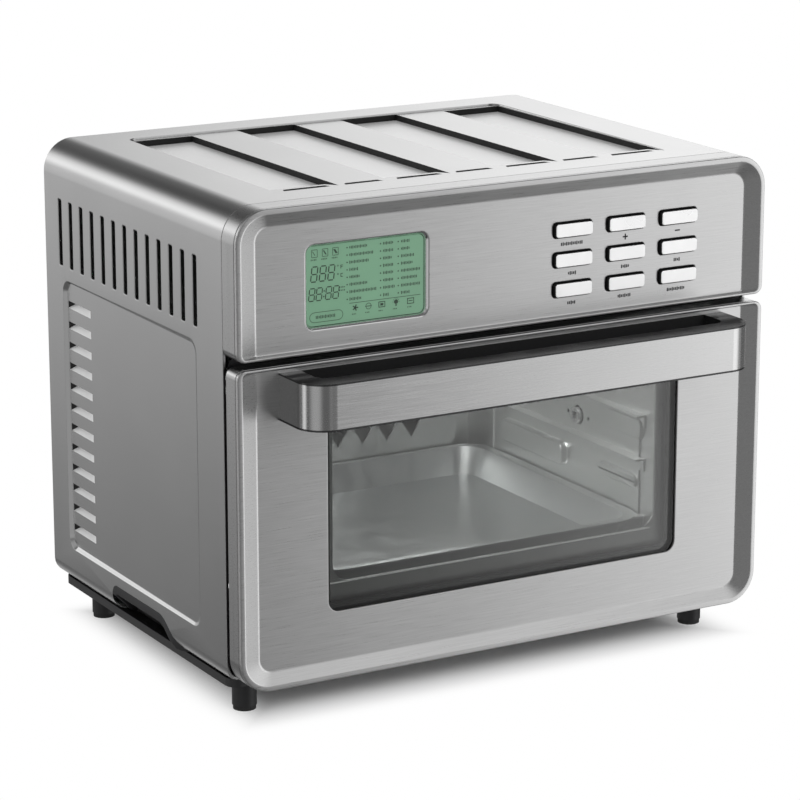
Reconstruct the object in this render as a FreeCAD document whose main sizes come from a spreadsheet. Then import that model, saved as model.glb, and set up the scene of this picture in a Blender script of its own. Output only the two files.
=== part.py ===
import FreeCAD, Part
import os
from types import SimpleNamespace

import Sketcher

# Countertop toaster oven with a drop-down glass door.
# Frame: X across the front, Y from the front to the back, Z up, millimetres.
# The origin lies on the worktop, under the middle of the whole oven, handle included.

DRIVING_DIMENSIONS = [
    ("width", 400.0),            # across the side walls
    ("height", 339.5),           # worktop to the top sheet
    ("body_depth", 292.0),       # front rim to the rear cover
    ("handle_reach", 38.0),      # handle in front of the rim
    ("sheet", 1.0),              # casing sheet
    ("top_radius", 21.7),        # long edges of the casing
    ("gap_radius", 6.0),         # corners beside the gap over the door
    ("collar_depth", 20.0),      # front rim to the casing
    ("fascia_bottom", 243.5),
    ("door_top", 238.5),
    ("door_bottom", 25.1),
    ("rim", 3.5),                # flat rim around the dished front
    ("dish_depth", 3.5),         # rim to the flat of the front
    ("bevel_side", 14.8),        # outer face to the flat, at the sides
    ("bevel_end", 12.0),         # outer face to the flat, at the top and bottom
    ("skirt_bottom", 27.0),      # lower edge of the side walls
    ("skirt_radius", 12.0),
    ("window_half", 134.5),
    ("window_bottom", 69.6),
    ("window_top", 190.5),
    ("button_wide", 28.4),
    ("button_tall", 8.9),
    ("button_pitch_x", 41.6),
    ("button_pitch_z", 19.9),
    ("button_first_x", 48.2),    # middle of the left column
    ("button_first_z", 303.2),   # middle of the upper row
    ("button_travel", 0.8),
    ("display_left", -150.0),
    ("display_right", -60.3),
    ("display_bottom", 257.5),
    ("display_top", 313.6),
    ("handle_half", 169.0),
    ("handle_radius", 19.0),
    ("handle_bottom", 202.8),
    ("handle_top", 233.5),
    ("handle_bar", 15.4),
    ("cavity_half", 130.0),
    ("cavity_bottom", 50.0),
    ("cavity_top", 212.0),
    ("cavity_rear", 270.0),      # behind the front rim
    ("hinge_behind_rim", 13.0),
    ("hinge_height", 36.0),
    ("hinge_pin_radius", 2.5),
    ("foot_height", 21.0),
    ("foot_radius", 8.2),
    ("foot_x", 176.0),
    ("foot_front", 43.3),        # behind the front rim
    ("foot_rear", 261.3),
    ("slot_first", 58.3),        # first side slot behind the front rim
    ("slot_pitch", 17.27),
    ("slot_bottom", 256.2),
    ("slot_top", 302.2),
    ("slot_width", 5.6),
    ("louvre_first", 231.6),
    ("louvre_pitch", 14.56),
]
SLOT_COUNT = 13
LOUVRE_COUNT = 12
TOP_LOUVRE_COUNT = 4

doc = FreeCAD.newDocument("toaster_oven")
sheet = doc.addObject("Spreadsheet::Sheet", "Dims")
for row, (alias, number) in enumerate(DRIVING_DIMENSIONS, start=1):
    sheet.set(f"A{row}", alias)
    sheet.set(f"B{row}", str(number))
    sheet.setAlias(f"B{row}", alias)
doc.recompute()


class Size:
    """A length that carries its number and the spreadsheet formula that gives it."""

    def __init__(self, value, formula):
        self.value = value
        self.formula = formula

    def __add__(self, other):
        other = size_of(other)
        return Size(self.value + other.value, f"({self.formula} + {other.formula})")

    def __sub__(self, other):
        other = size_of(other)
        return Size(self.value - other.value, f"({self.formula} - {other.formula})")

    def __mul__(self, factor):
        return Size(self.value * factor, f"({self.formula} * {factor})")

    def __truediv__(self, divisor):
        return Size(self.value / divisor, f"({self.formula} / {divisor})")

    def __neg__(self):
        return Size(-self.value, f"(0 - {self.formula})")

    __radd__ = __add__


def size_of(thing):
    """A plain number becomes a Size whose formula is that number."""
    if isinstance(thing, Size):
        return thing
    number = float(thing)
    return Size(number, f"({number})" if number < 0 else f"{number}")


D = SimpleNamespace(**{alias: Size(number, f"Dims.{alias}") for alias, number in DRIVING_DIMENSIONS})
HALF = D.width / 2
FRONT = -(D.body_depth + D.handle_reach) / 2 + D.handle_reach
CASING_REAR = FRONT + D.body_depth - 1
TOP = D.height
HINGE_Y = FRONT + D.hinge_behind_rim
HINGE_Z = D.hinge_height

NODES = []


def bind(obj, prop, size):
    """Bind one property of an object to the spreadsheet."""
    obj.setExpression(prop, size_of(size).formula)


def place(obj, x, y, z):
    for letter, size in zip("xyz", (x, y, z)):
        bind(obj, f"Placement.Base.{letter}", size)


def node(obj, label):
    """Make an object one of the oven's sub-parts."""
    obj.Label = label
    NODES.append(obj)
    return obj


AXES = {"X": FreeCAD.Vector(1, 0, 0), "Y": FreeCAD.Vector(0, 1, 0), "Z": FreeCAD.Vector(0, 0, 1)}


def box(low, high, name="Block"):
    """A block between two corners."""
    block = doc.addObject("Part::Box", name)
    for prop, start, end in zip(("Length", "Width", "Height"), low, high):
        bind(block, prop, size_of(end) - start)
    place(block, *low)
    return block


def rod(radius, length, at, axis, name="Rod"):
    """A cylinder that starts at a point and runs along an axis."""
    cylinder = doc.addObject("Part::Cylinder", name)
    bind(cylinder, "Radius", radius)
    bind(cylinder, "Height", length)
    cylinder.Placement = FreeCAD.Placement(FreeCAD.Vector(), FreeCAD.Rotation(AXES["Z"], AXES[axis]))
    place(cylinder, *at)
    return cylinder


def rounded(low, high, axis, radius, upper_radius=None, name="Rounded"):
    """A block whose four edges along one axis are rounded, the upper two with their own radius."""
    body = doc.addObject("PartDesign::Body", name)
    block = body.newObject("PartDesign::AdditiveBox", name + "Block")
    for prop, start, end in zip(("Length", "Width", "Height"), low, high):
        bind(block, prop, size_of(end) - start)
    place(block, *low)
    doc.recompute()
    middle = block.Shape.BoundBox.Center.z
    groups = [(radius, lambda z: True)]
    if upper_radius is not None:
        groups = [(radius, lambda z: z < middle), (upper_radius, lambda z: z > middle)]
    for size, wanted in groups:
        base = body.Tip
        fillet = body.newObject("PartDesign::Fillet", name + "Round")
        names = []
        for number, edge in enumerate(base.Shape.Edges, start=1):
            if not isinstance(edge.Curve, Part.Line):
                continue
            along = edge.tangentAt(edge.FirstParameter)
            if abs(abs(along.dot(AXES[axis])) - 1) < 1e-6 and wanted(edge.CenterOfMass.z):
                names.append(f"Edge{number}")
        fillet.Base = (base, names)
        bind(fillet, "Radius", size)
        doc.recompute()
    return body


def joined(*shapes, name="Joined"):
    fuse = doc.addObject("Part::MultiFuse", name)
    fuse.Shapes = list(shapes)
    fuse.Refine = True
    return fuse


def cut(base, *tools, name="Cut"):
    """One shape less others. Tools that don't touch each other are taken together."""
    result = doc.addObject("Part::Cut", name)
    result.Base = base
    if len(tools) == 1:
        result.Tool = tools[0]
    else:
        group = doc.addObject("Part::Compound", name + "Tools")
        group.Links = list(tools)
        result.Tool = group
    result.Refine = True
    return result


def group_of(*solids, name="Group"):
    """Identical pieces that stay separate solids in one node."""
    compound = doc.addObject("Part::Compound", name)
    compound.Links = list(solids)
    return compound


def origin_plane(body, role):
    return next(item for item in body.Origin.OriginFeatures if item.Role == role)


def rounded_outline(body, name, plane, offset, left, right, bottom, top, radius, upper_radius):
    """A sketch of a rectangle with round corners, on a plane moved along its normal."""
    sketch = body.newObject("Sketcher::SketchObject", name)
    sketch.AttachmentSupport = (origin_plane(body, plane), [""])
    sketch.MapMode = "FlatFace"
    bind(sketch, "AttachmentOffset.Base.z", offset)
    low, high, west, east = (size_of(item).value for item in (bottom, top, left, right))
    small, large = size_of(radius).value, size_of(upper_radius).value
    point = lambda x, y: FreeCAD.Vector(x, y, 0)
    corners = [
        (east - small, low + small, small, 270),
        (east - large, high - large, large, 0),
        (west + large, high - large, large, 90),
        (west + small, low + small, small, 180),
    ]
    sketch.addGeometry(Part.LineSegment(point(west + small, low), point(east - small, low)))
    sketch.addGeometry(Part.LineSegment(point(east, low + small), point(east, high - large)))
    sketch.addGeometry(Part.LineSegment(point(east - large, high), point(west + large, high)))
    sketch.addGeometry(Part.LineSegment(point(west, high - large), point(west, low + small)))
    for x, y, bend, start in corners:
        circle = Part.Circle(point(x, y), AXES["Z"], bend)
        first = start * 3.141592653589793 / 180
        sketch.addGeometry(Part.ArcOfCircle(circle, first, first + 3.141592653589793 / 2))
    for side in range(4):
        sketch.addConstraint(Sketcher.Constraint("Tangent", side, 2, 4 + side, 1))
        sketch.addConstraint(Sketcher.Constraint("Tangent", 4 + side, 2, (side + 1) % 4, 1))
    for side, kind in enumerate(("Horizontal", "Vertical", "Horizontal", "Vertical")):
        sketch.addConstraint(Sketcher.Constraint(kind, side))
    limits = [("DistanceY", 0, bottom), ("DistanceX", 1, right), ("DistanceY", 2, top), ("DistanceX", 3, left)]
    for kind, side, size in limits:
        number = sketch.addConstraint(Sketcher.Constraint(kind, -1, 1, side, 1, size_of(size).value))
        bind(sketch, f"Constraints[{number}]", size)
    for arc, size in zip(range(4, 8), (radius, upper_radius, upper_radius, radius)):
        number = sketch.addConstraint(Sketcher.Constraint("Radius", arc, size_of(size).value))
        bind(sketch, f"Constraints[{number}]", size)
    return sketch


def tapered(name, plane, sections):
    """A loft through round-cornered rectangles. Each section is (offset, left, right, bottom, top, radii)."""
    body = doc.addObject("PartDesign::Body", name)
    sketches = [
        rounded_outline(body, f"{name}Section{number}", plane, *section)
        for number, section in enumerate(sections)
    ]
    doc.recompute()
    loft = body.newObject("PartDesign::AdditiveLoft", name + "Loft")
    loft.Profile = sketches[0]
    loft.Sections = sketches[1:]
    loft.Ruled = True
    body.Tip = loft
    doc.recompute()
    return body


def polygon_prism(name, plane, start, length, points):
    """A straight-sided outline, given as pairs of sizes, pushed along its plane's normal."""
    body = doc.addObject("PartDesign::Body", name)
    sketch = body.newObject("Sketcher::SketchObject", name + "Outline")
    sketch.AttachmentSupport = (origin_plane(body, plane), [""])
    sketch.MapMode = "FlatFace"
    bind(sketch, "AttachmentOffset.Base.z", start)
    corners = [FreeCAD.Vector(size_of(x).value, size_of(y).value, 0) for x, y in points]
    count = len(corners)
    for number in range(count):
        sketch.addGeometry(Part.LineSegment(corners[number], corners[(number + 1) % count]))
    for number in range(count):
        sketch.addConstraint(Sketcher.Constraint("Coincident", number, 2, (number + 1) % count, 1))
    for number, (x, y) in enumerate(points):
        for kind, size in (("DistanceX", x), ("DistanceY", y)):
            spot = sketch.addConstraint(Sketcher.Constraint(kind, -1, 1, number, 1, size_of(size).value))
            bind(sketch, f"Constraints[{spot}]", size)
    doc.recompute()
    pad = body.newObject("PartDesign::Pad", name + "Pad")
    pad.Profile = sketch
    bind(pad, "Length", length)
    body.Tip = pad
    doc.recompute()
    return body


def mirrored(shape, name="Mirrored"):
    """The same shape on the other side of the oven."""
    mirror = doc.addObject("Part::Mirroring", name)
    mirror.Source = shape
    mirror.Base = FreeCAD.Vector(0, 0, 0)
    mirror.Normal = AXES["X"]
    return mirror


# ---------------------------------------------------------------- casing

def casing_shell(low_y, high_y, inset, bottom, name):
    """A round-edged block with the casing's section, inset from the outside."""
    low = (-(HALF - inset), low_y, bottom)
    high = (HALF - inset, high_y, TOP - inset)
    return rounded(low, high, "Y", D.skirt_radius - inset, D.top_radius - inset, name)


RECESS_HALF = 149.0
RECESS_DROP = 1.2
RECESS_FRONT = FRONT + 42
RECESS_REAR = FRONT + 265
LOUVRE_DROP = 5.3
LOUVRE_PITCH_X = 83.0
LOUVRE_WIDE = 46.0
LOUVRE_RAMP_X = 10.0
LOUVRE_RAMP_Y = 17.0


def top_louvre_pan(number, name, grow, rise):
    """The space over one pressed-down top louvre: sloped at its left and front, upright elsewhere."""
    right = -101.5 + LOUVRE_PITCH_X * number
    left = right - LOUVRE_WIDE
    upper = TOP - RECESS_DROP + rise
    floor = TOP - RECESS_DROP - LOUVRE_DROP - grow
    pan = doc.addObject("Part::Wedge", name)
    ratio = (LOUVRE_DROP + rise) / LOUVRE_DROP
    bind(pan, "Ymin", floor)
    bind(pan, "Ymax", upper)
    bind(pan, "Xmin", left + LOUVRE_RAMP_X - grow)
    bind(pan, "Xmax", right)
    bind(pan, "X2min", left + LOUVRE_RAMP_X - grow - LOUVRE_RAMP_X * ratio)
    bind(pan, "X2max", right)
    bind(pan, "Zmin", -RECESS_REAR)
    bind(pan, "Zmax", -(RECESS_FRONT + LOUVRE_RAMP_Y - grow))
    bind(pan, "Z2min", -RECESS_REAR)
    bind(pan, "Z2max", -(RECESS_FRONT + LOUVRE_RAMP_Y - grow - LOUVRE_RAMP_Y * ratio))
    pan.Placement = FreeCAD.Placement(FreeCAD.Vector(), FreeCAD.Rotation(AXES["X"], 90))
    return pan


def make_outer_wrap():
    """The wrapped steel sheet: top, both sides and the turned-in lower edges."""
    front = FRONT + D.collar_depth
    outer = casing_shell(front, CASING_REAR, 0, D.skirt_bottom, "CasingOuter")
    inner = casing_shell(front - 1, CASING_REAR + 1, D.sheet, D.skirt_bottom + D.sheet, "CasingInner")
    shell = cut(outer, inner, name="CasingShell")

    # The underside is open between the turned-in edges, which stop short of the door's swing.
    underside = box((-(HALF - 14), front - 1, 25), (HALF - 14, CASING_REAR + 1, 33), "UndersideOpening")
    door_swing = box((-(HALF - 2), front - 1, 25), (HALF - 2, front + 10, 44), "DoorSwingRelief")

    # Hand-holds in the lower edge of both sides.
    notch_outline = [
        (FRONT + 82, 24), (FRONT + 193.5, 24), (FRONT + 193.5, 40), (FRONT + 191, 45), (FRONT + 186, 46.8),
        (FRONT + 121, 46.8), (FRONT + 112, 44), (FRONT + 101, 37), (FRONT + 91, 29.5), (FRONT + 82, 27),
    ]
    hand_holds = polygon_prism("HandHolds", "YZ_Plane", -(HALF + 5), D.width + 10, notch_outline)

    # Upright slots through both sides.
    slots = []
    for number in range(SLOT_COUNT):
        middle = FRONT + D.slot_first + D.slot_pitch * number
        low = (-(HALF + 2), middle - D.slot_width / 2, D.slot_bottom)
        high = (HALF + 2, middle + D.slot_width / 2, D.slot_top)
        slots.append(rounded(low, high, "X", 1.2, name=f"SideSlot{number}"))

    # A shallow pressed panel in each side, with sloped borders.
    side_outer = tapered("SidePanelOuter", "YZ_Plane", [
        (-HALF + 0.6, FRONT + 57.2, FRONT + 263.8, 53.5, 246.8, 9, 9),
        (-HALF + 3.0, FRONT + 60.0, FRONT + 261.0, 56.3, 244.0, 7, 7),
    ])
    side_inner = tapered("SidePanelInner", "YZ_Plane", [
        (-HALF - 0.4, FRONT + 57.5, FRONT + 264.5, 53.6, 246.7, 9.5, 9.5),
        (-HALF + 2.0, FRONT + 60.8, FRONT + 260.2, 57.1, 243.2, 6.4, 6.4),
    ])

    # Louvres: a slot through the side panel under each lifted blade.
    louvre_slots = []
    blades = []
    for number in range(LOUVRE_COUNT):
        level = D.louvre_first - D.louvre_pitch * number
        rear = FRONT + 257.7
        slot_low = (-HALF + 1, rear - 37.5, level - 3.9)
        louvre_slots.append(box(slot_low, (-HALF + 4, rear, level - 0.5), f"LouvreSlot{number}"))
        blade = [
            (-HALF + 2.6, level), (-HALF + 0.4, level - 3.5), (-HALF + 1.2, level - 3.9), (-HALF + 3.0, level - 1),
        ]
        blades.append(polygon_prism(f"LouvreBlade{number}", "XZ_Plane", -(rear - 3.5), 34, blade))

    # The top: a shallow field with four louvres pressed down into it.
    field_low = (-(RECESS_HALF + 1), RECESS_FRONT - 1, TOP - RECESS_DROP - 1)
    field_outer = box(field_low, (RECESS_HALF + 1, RECESS_REAR + 1, TOP - 0.5), "TopFieldOuter")
    field_inner = box((-RECESS_HALF, RECESS_FRONT, TOP - RECESS_DROP), (RECESS_HALF, RECESS_REAR, TOP + 1), "TopField")
    pans = [top_louvre_pan(number, f"TopPan{number}", 1.0, 0.0) for number in range(TOP_LOUVRE_COUNT)]
    voids = [top_louvre_pan(number, f"TopVoid{number}", 0.0, 0.6) for number in range(TOP_LOUVRE_COUNT)]
    dashes = []
    for number in range(7):
        across = -124.5 + LOUVRE_PITCH_X * number / 2
        depth = RECESS_FRONT + 8.3
        low = (across - 13 + 2 * (number % 2), depth, TOP - 12)
        dashes.append(box(low, (across + 13 - 2 * (number % 2), depth + 1.5, TOP + 1), f"TopDash{number}"))

    solid = joined(shell, side_outer, mirrored(side_outer), field_outer, *pans, name="CasingSolid")
    opened = cut(solid, underside, name="CasingUnderside")
    opened = cut(opened, door_swing, name="CasingRelief")
    opened = cut(opened, hand_holds, name="CasingHandHolds")
    opened = cut(opened, *slots, name="CasingSlots")
    opened = cut(opened, side_inner, mirrored(side_inner), name="CasingPanels")
    opened = cut(opened, *louvre_slots, *[mirrored(slot) for slot in louvre_slots], name="CasingLouvres")
    opened = cut(opened, field_inner, name="CasingField")
    for number, void in enumerate(voids):
        opened = cut(opened, void, name=f"CasingVoid{number}")
    opened = cut(opened, *dashes, name="CasingDashes")
    wrap = joined(opened, *blades, *[mirrored(blade) for blade in blades], name="OuterWrap")
    return node(wrap, "outer_wrap")


def make_rear_cover():
    """A shallow steel tray that closes the back, with a raised field, vents and the cord inlet's hole."""
    gap = D.sheet + 0.3
    low = (-(HALF - gap), CASING_REAR - 9, D.skirt_bottom + gap)
    high = (HALF - gap, CASING_REAR, TOP - gap)
    outer = rounded(low, high, "Y", D.skirt_radius - gap, D.top_radius - gap, "RearOuter")
    wall = gap + D.sheet
    low = (-(HALF - wall), CASING_REAR - 10, D.skirt_bottom + wall)
    high = (HALF - wall, CASING_REAR - D.sheet, TOP - wall)
    inner = rounded(low, high, "Y", D.skirt_radius - wall, D.top_radius - wall, "RearInner")
    field = rounded((-130, CASING_REAR - 0.5, 70), (130, CASING_REAR + 1, 262), "Y", 10, name="RearField")
    vents = []
    for level in (78, 128):
        for column in range(15):
            low = (-100 + 14 * column, CASING_REAR - 3, level)
            high = (-96 + 14 * column, CASING_REAR + 3, level + 40)
            vents.append(box(low, high, "RearVent"))
    inlet = rod(8.0, 20, (150, CASING_REAR - 10, 62), "Y", "InletHole")
    plate = cut(outer, inner, name="RearTray")
    plate = joined(plate, field, name="RearPlate")
    holes = [rod(1.5, 8, (x, CASING_REAR - 8, z), "Y", "CoverHole") for x, z in cover_screw_places()]
    return node(cut(plate, *vents, inlet, *holes, name="RearCover"), "rear_cover")


def cover_screw_places():
    """Eight screws around the rear cover."""
    return [(x, z) for x in (-185, 185) for z in (60, 180, 300)] + [(-90, 325), (90, 325)]


def make_cover_screws():
    screws = []
    for x, z in cover_screw_places():
        shank = rod(1.5, 8, (x, CASING_REAR - 8, z), "Y", "CoverScrewShank")
        head = rod(3.5, 1.0, (x, CASING_REAR, z), "Y", "CoverScrewHead")
        screws.append(joined(shank, head, name="CoverScrew"))
    return node(group_of(*screws, name="CoverScrews"), "cover_screws")


def make_base_plate():
    """The black bottom tray that carries the feet."""
    wall = D.sheet
    low = (-(HALF - 6), FRONT + 27, D.foot_height)
    high = (HALF - 6, FRONT + 288, D.skirt_bottom - 0.3)
    outer = rounded(low, high, "Z", 8, name="BaseOuter")
    low = (-(HALF - 6 - wall), FRONT + 27 + wall, D.foot_height + wall)
    high = (HALF - 6 - wall, FRONT + 288 - wall, 60)
    inner = rounded(low, high, "Z", 7, name="BaseInner")
    vents = []
    for row in range(3):
        for column in range(12):
            low = (-124 + 22 * column, FRONT + 62 + 66 * row, 20)
            high = (-118 + 22 * column, FRONT + 62 + 66 * row + 46, 30)
            vents.append(box(low, high, "BaseVent"))
    holes = [rod(2.0, 10, (x, y, 18), "Z", "FootHole") for x, y in foot_places()]
    tray = cut(outer, inner, name="BaseTray")
    return node(cut(tray, *vents, *holes, name="BasePlate"), "base_plate")


def foot_places():
    return [(side * D.foot_x.value, FRONT + depth) for side in (-1, 1) for depth in (D.foot_front, D.foot_rear)]


def make_feet():
    feet = []
    pads = []
    screws = []
    for x, y in foot_places():
        stem = rod(D.foot_radius, D.foot_height - 3, (x, y, 3), "Z", "FootStem")
        bore = rod(2.0, 12, (x, y, 14), "Z", "FootBore")
        feet.append(cut(stem, bore, name="Foot"))
        pads.append(rod(D.foot_radius - 0.6, 3, (x, y, 0), "Z", "FootPad"))
        shank = rod(2.0, D.foot_height + D.sheet - 14, (x, y, 14), "Z", "FootScrewShank")
        head = rod(4.0, 2, (x, y, D.foot_height + D.sheet), "Z", "FootScrewHead")
        screws.append(joined(shank, head, name="FootScrew"))
    node(group_of(*feet, name="Feet"), "feet")
    node(group_of(*pads, name="FootPads"), "foot_pads")
    node(group_of(*screws, name="FootScrews"), "foot_screws")


def make_hand_hold_liners():
    """Black pockets behind the hand-holds, open to the side and below."""
    low = (-(HALF - 1.3), FRONT + 80, D.skirt_bottom + 1.3)
    outer = rounded(low, (-(HALF - 20), FRONT + 214, 53), "X", 4, name="LinerOuter")
    low = (-(HALF + 2), FRONT + 83, 24)
    inner = rounded(low, (-(HALF - 18), FRONT + 211, 51), "X", 3, name="LinerInner")
    envelope = casing_shell(FRONT + 60, FRONT + 240, 1.4, D.skirt_bottom + 1.4, "LinerEnvelope")
    liner = doc.addObject("Part::MultiCommon", "HandHoldLiner")
    liner.Shapes = [cut(outer, inner, name="LinerTray"), envelope]
    node(liner, "handhold_liner_left")
    node(mirrored(liner, "HandHoldLinerRight"), "handhold_liner_right")


# ---------------------------------------------------------------- front

def dished_front(name, bottom, top, bottom_radius, upper_radius, dish_bottom, dish_top):
    """A pressed front: a flat rim, a sloped border and a flat that lies behind the rim."""
    rim_low = (-HALF, FRONT, bottom)
    rim_block = rounded(rim_low, (HALF, FRONT + 2.6, top), "Y", bottom_radius, upper_radius, name + "Rim")
    inset = 2.3
    low = (-(HALF - inset), FRONT + 2, bottom + inset)
    high = (HALF - inset, FRONT + 4.7, top - inset)
    radii = (size_of(bottom_radius) - inset, size_of(upper_radius) - inset)
    back_block = rounded(low, high, "Y", *radii, name + "Back")
    outer_radius = D.top_radius - D.rim
    dish = tapered(name + "Dish", "XZ_Plane", [
        (-FRONT + 0.01, -(HALF - D.rim), HALF - D.rim, dish_bottom[0], dish_top[0], outer_radius, outer_radius),
        (-FRONT - D.dish_depth, -(HALF - D.bevel_side), HALF - D.bevel_side, dish_bottom[1], dish_top[1], 7, 7),
    ])
    groove_outer = box((-(HALF + 1), FRONT + 1.5, bottom - 1), (HALF + 1, FRONT + 1.9, top + 1), name + "GrooveBand")
    groove_low = (-(HALF - 0.5), FRONT + 1, bottom + 0.5)
    groove_high = (HALF - 0.5, FRONT + 2.4, top - 0.5)
    radii = (size_of(bottom_radius) - 0.5, size_of(upper_radius) - 0.5)
    groove_inner = rounded(groove_low, groove_high, "Y", *radii, name + "GrooveCore")
    groove = cut(groove_outer, groove_inner, name=name + "Groove")
    block = joined(rim_block, back_block, name=name + "Block")
    pressed = cut(block, dish, name=name + "Pressed")
    return cut(pressed, groove, name=name + "Grooved")


def front_collar(name, bottom, top, bottom_radius, upper_radius, rear):
    """The ring behind a pressed front."""
    outer = rounded((-HALF, FRONT + 3, bottom), (HALF, rear, top), "Y", bottom_radius, upper_radius, name + "Outer")
    wall = 2.0
    low = (-(HALF - wall), FRONT + 2, bottom + wall)
    high = (HALF - wall, rear + 1, top - wall)
    radii = (size_of(bottom_radius) - wall, size_of(upper_radius) - wall)
    inner = rounded(low, high, "Y", *radii, name + "Inner")
    return cut(outer, inner, name=name)


def button_places():
    """Row, column and middle of each button."""
    for row in range(3):
        for column in range(3):
            across = D.button_first_x + D.button_pitch_x * column
            level = D.button_first_z - D.button_pitch_z * row
            yield row, column, across, level


def make_fascia():
    upper = TOP - D.rim
    panel = dished_front(
        "Fascia", D.fascia_bottom, TOP, D.gap_radius, D.top_radius,
        (D.fascia_bottom - 40, D.fascia_bottom - 40), (upper, TOP - D.bevel_end),
    )
    wall = 1.2
    window_low = (D.display_left - wall, FRONT, D.display_bottom - wall)
    window_high = (D.display_right + wall, FRONT + 10, D.display_top + wall)
    window = rounded(window_low, window_high, "Y", 3, name="DisplayWindow")
    holes = []
    for row, column, across, level in button_places():
        half_wide = D.button_wide / 2 + 0.7
        half_tall = D.button_tall / 2 + 0.7
        low = (across - half_wide, FRONT, level - half_tall)
        high = (across + half_wide, FRONT + 10, level + half_tall)
        holes.append(rounded(low, high, "Y", 2.6, name="ButtonHole"))
    # The lower edge is cut back a little over the handle.
    relief = box((-182, FRONT - 1, D.fascia_bottom - 1), (150, FRONT + 2.6, D.fascia_bottom + 1.6), "LowerRelief")
    node(cut(panel, window, relief, *holes, name="FasciaPanel"), "fascia_panel")
    collar = front_collar("FasciaCollar", D.fascia_bottom, TOP, D.gap_radius, D.top_radius, FRONT + D.collar_depth)
    node(collar, "fascia_collar")


def make_display():
    wall = 1.2
    low = (D.display_left - wall, FRONT + 3.4, D.display_bottom - wall)
    high = (D.display_right + wall, FRONT + 10.5, D.display_top + wall)
    outer = rounded(low, high, "Y", 3, name="BezelOuter")
    low = (D.display_left, FRONT, D.display_bottom)
    high = (D.display_right, FRONT + 12, D.display_top)
    inner = rounded(low, high, "Y", 1.8, name="BezelInner")
    node(cut(outer, inner, name="DisplayBezel"), "display_bezel")
    low = (D.display_left - 3, FRONT + 10.5, D.display_bottom - 3)
    high = (D.display_right + 3, FRONT + 11.7, D.display_top + 3)
    node(rounded(low, high, "Y", 2, name="DisplayLens"), "display_lens")
    low = (D.display_left - 3, FRONT + 11.7, D.display_bottom - 3)
    node(box(low, (D.display_right + 3, FRONT + 17, D.display_top + 3), "LcdModule"), "lcd_module")


BUTTON_NAMES = [
    ["button_menu", "button_plus", "button_minus"],
    ["button_light", "button_temperature", "button_time"],
    ["button_reset", "button_preheat", "button_start"],
]


def make_buttons():
    switches = []
    guides = []
    for row, column, across, level in button_places():
        half_wide = D.button_wide / 2
        half_tall = D.button_tall / 2
        cap_low = (across - half_wide, FRONT + 0.5, level - half_tall)
        cap = rounded(cap_low, (across + half_wide, FRONT + 7, level + half_tall), "Y", 2.0, name="ButtonCap")
        flange_low = (across - half_wide - 1.8, FRONT + 5.5, level - half_tall - 1.6)
        flange_high = (across + half_wide + 1.8, FRONT + 7, level + half_tall + 1.6)
        flange = box(flange_low, flange_high, "ButtonFlange")
        stem = rod(1.6, 5.5, (across, FRONT + 7, level), "Y", "ButtonStem")
        node(joined(cap, flange, stem, name="Button"), BUTTON_NAMES[row][column])
        switch_low = (across - 3, FRONT + 13.4, level - 3)
        switches.append(box(switch_low, (across + 3, FRONT + 17, level + 3), "TactSwitch"))
        guides.append(rod(2.0, 6, (across, FRONT + 7, level), "Y", "StemGuide"))
    node(group_of(*switches, name="TactSwitches"), "tact_switches")
    carrier = box((27, FRONT + 8.6, 251), (153.5, FRONT + 10.1, 315), "CarrierPlate")
    posts = [
        box((x - 1, FRONT + 4.7, z - 3), (x + 1, FRONT + 8.6, z + 3), "CarrierPost")
        for x in (28.0, 68.95, 110.55, 152.4) for z in (254.5, 311.5)
    ]
    whole = joined(carrier, *posts, name="CarrierSolid")
    node(cut(whole, *guides, name="ButtonCarrier"), "button_carrier")
    node(box((-156, FRONT + 17, 250), (156, FRONT + 18.6, 320), "ControlBoard"), "control_board")


# ---------------------------------------------------------------- door

DOOR_REAR = FRONT + 16.5
CAVITY_FRONT = FRONT + 20.7
HINGE_PLATE_X = (160.0, 174.0)
BRACKET_X = 167.0


def hinge_slots(name):
    """The slots at the door's lower edge that the fixed hinge arms swing through."""
    return [
        box((side * BRACKET_X - 6, FRONT + 5.2, 23.2), (side * BRACKET_X + 6, FRONT + 30, 50), name)
        for side in (-1, 1)
    ]


def make_door_shell():
    lower = D.door_bottom + D.rim
    skin = dished_front(
        "Door", D.door_bottom, D.door_top, D.top_radius - 0.7, D.gap_radius,
        (lower, D.door_bottom + D.bevel_end), (D.door_top + 40, D.door_top + 40),
    )
    window_low = (-D.window_half, FRONT - 1, D.window_bottom)
    window = rounded(window_low, (D.window_half, FRONT + 8, D.window_top), "Y", 8, name="DoorWindow")
    screw_holes = [rod(2.0, 6, (x, FRONT + 2, z), "Y", "HandleHole") for x, z in handle_screw_places()]
    node(cut(skin, window, *screw_holes, name="DoorSkin"), "door_skin")

    ring = front_collar("DoorRing", D.door_bottom, D.door_top, D.top_radius - 0.7, D.gap_radius, DOOR_REAR)
    node(cut(ring, *hinge_slots("RingSlot"), name="DoorRingSlotted"), "door_ring")


def make_door_glass():
    low = (-150, FRONT + 4.9, 58)
    node(rounded(low, (150, FRONT + 7.9, 200.5), "Y", 4, name="OuterGlass"), "outer_glass")
    low = (-140, FRONT + 12.2, 62)
    node(rounded(low, (140, FRONT + 15.2, 204), "Y", 4, name="InnerGlass"), "inner_glass")


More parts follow.
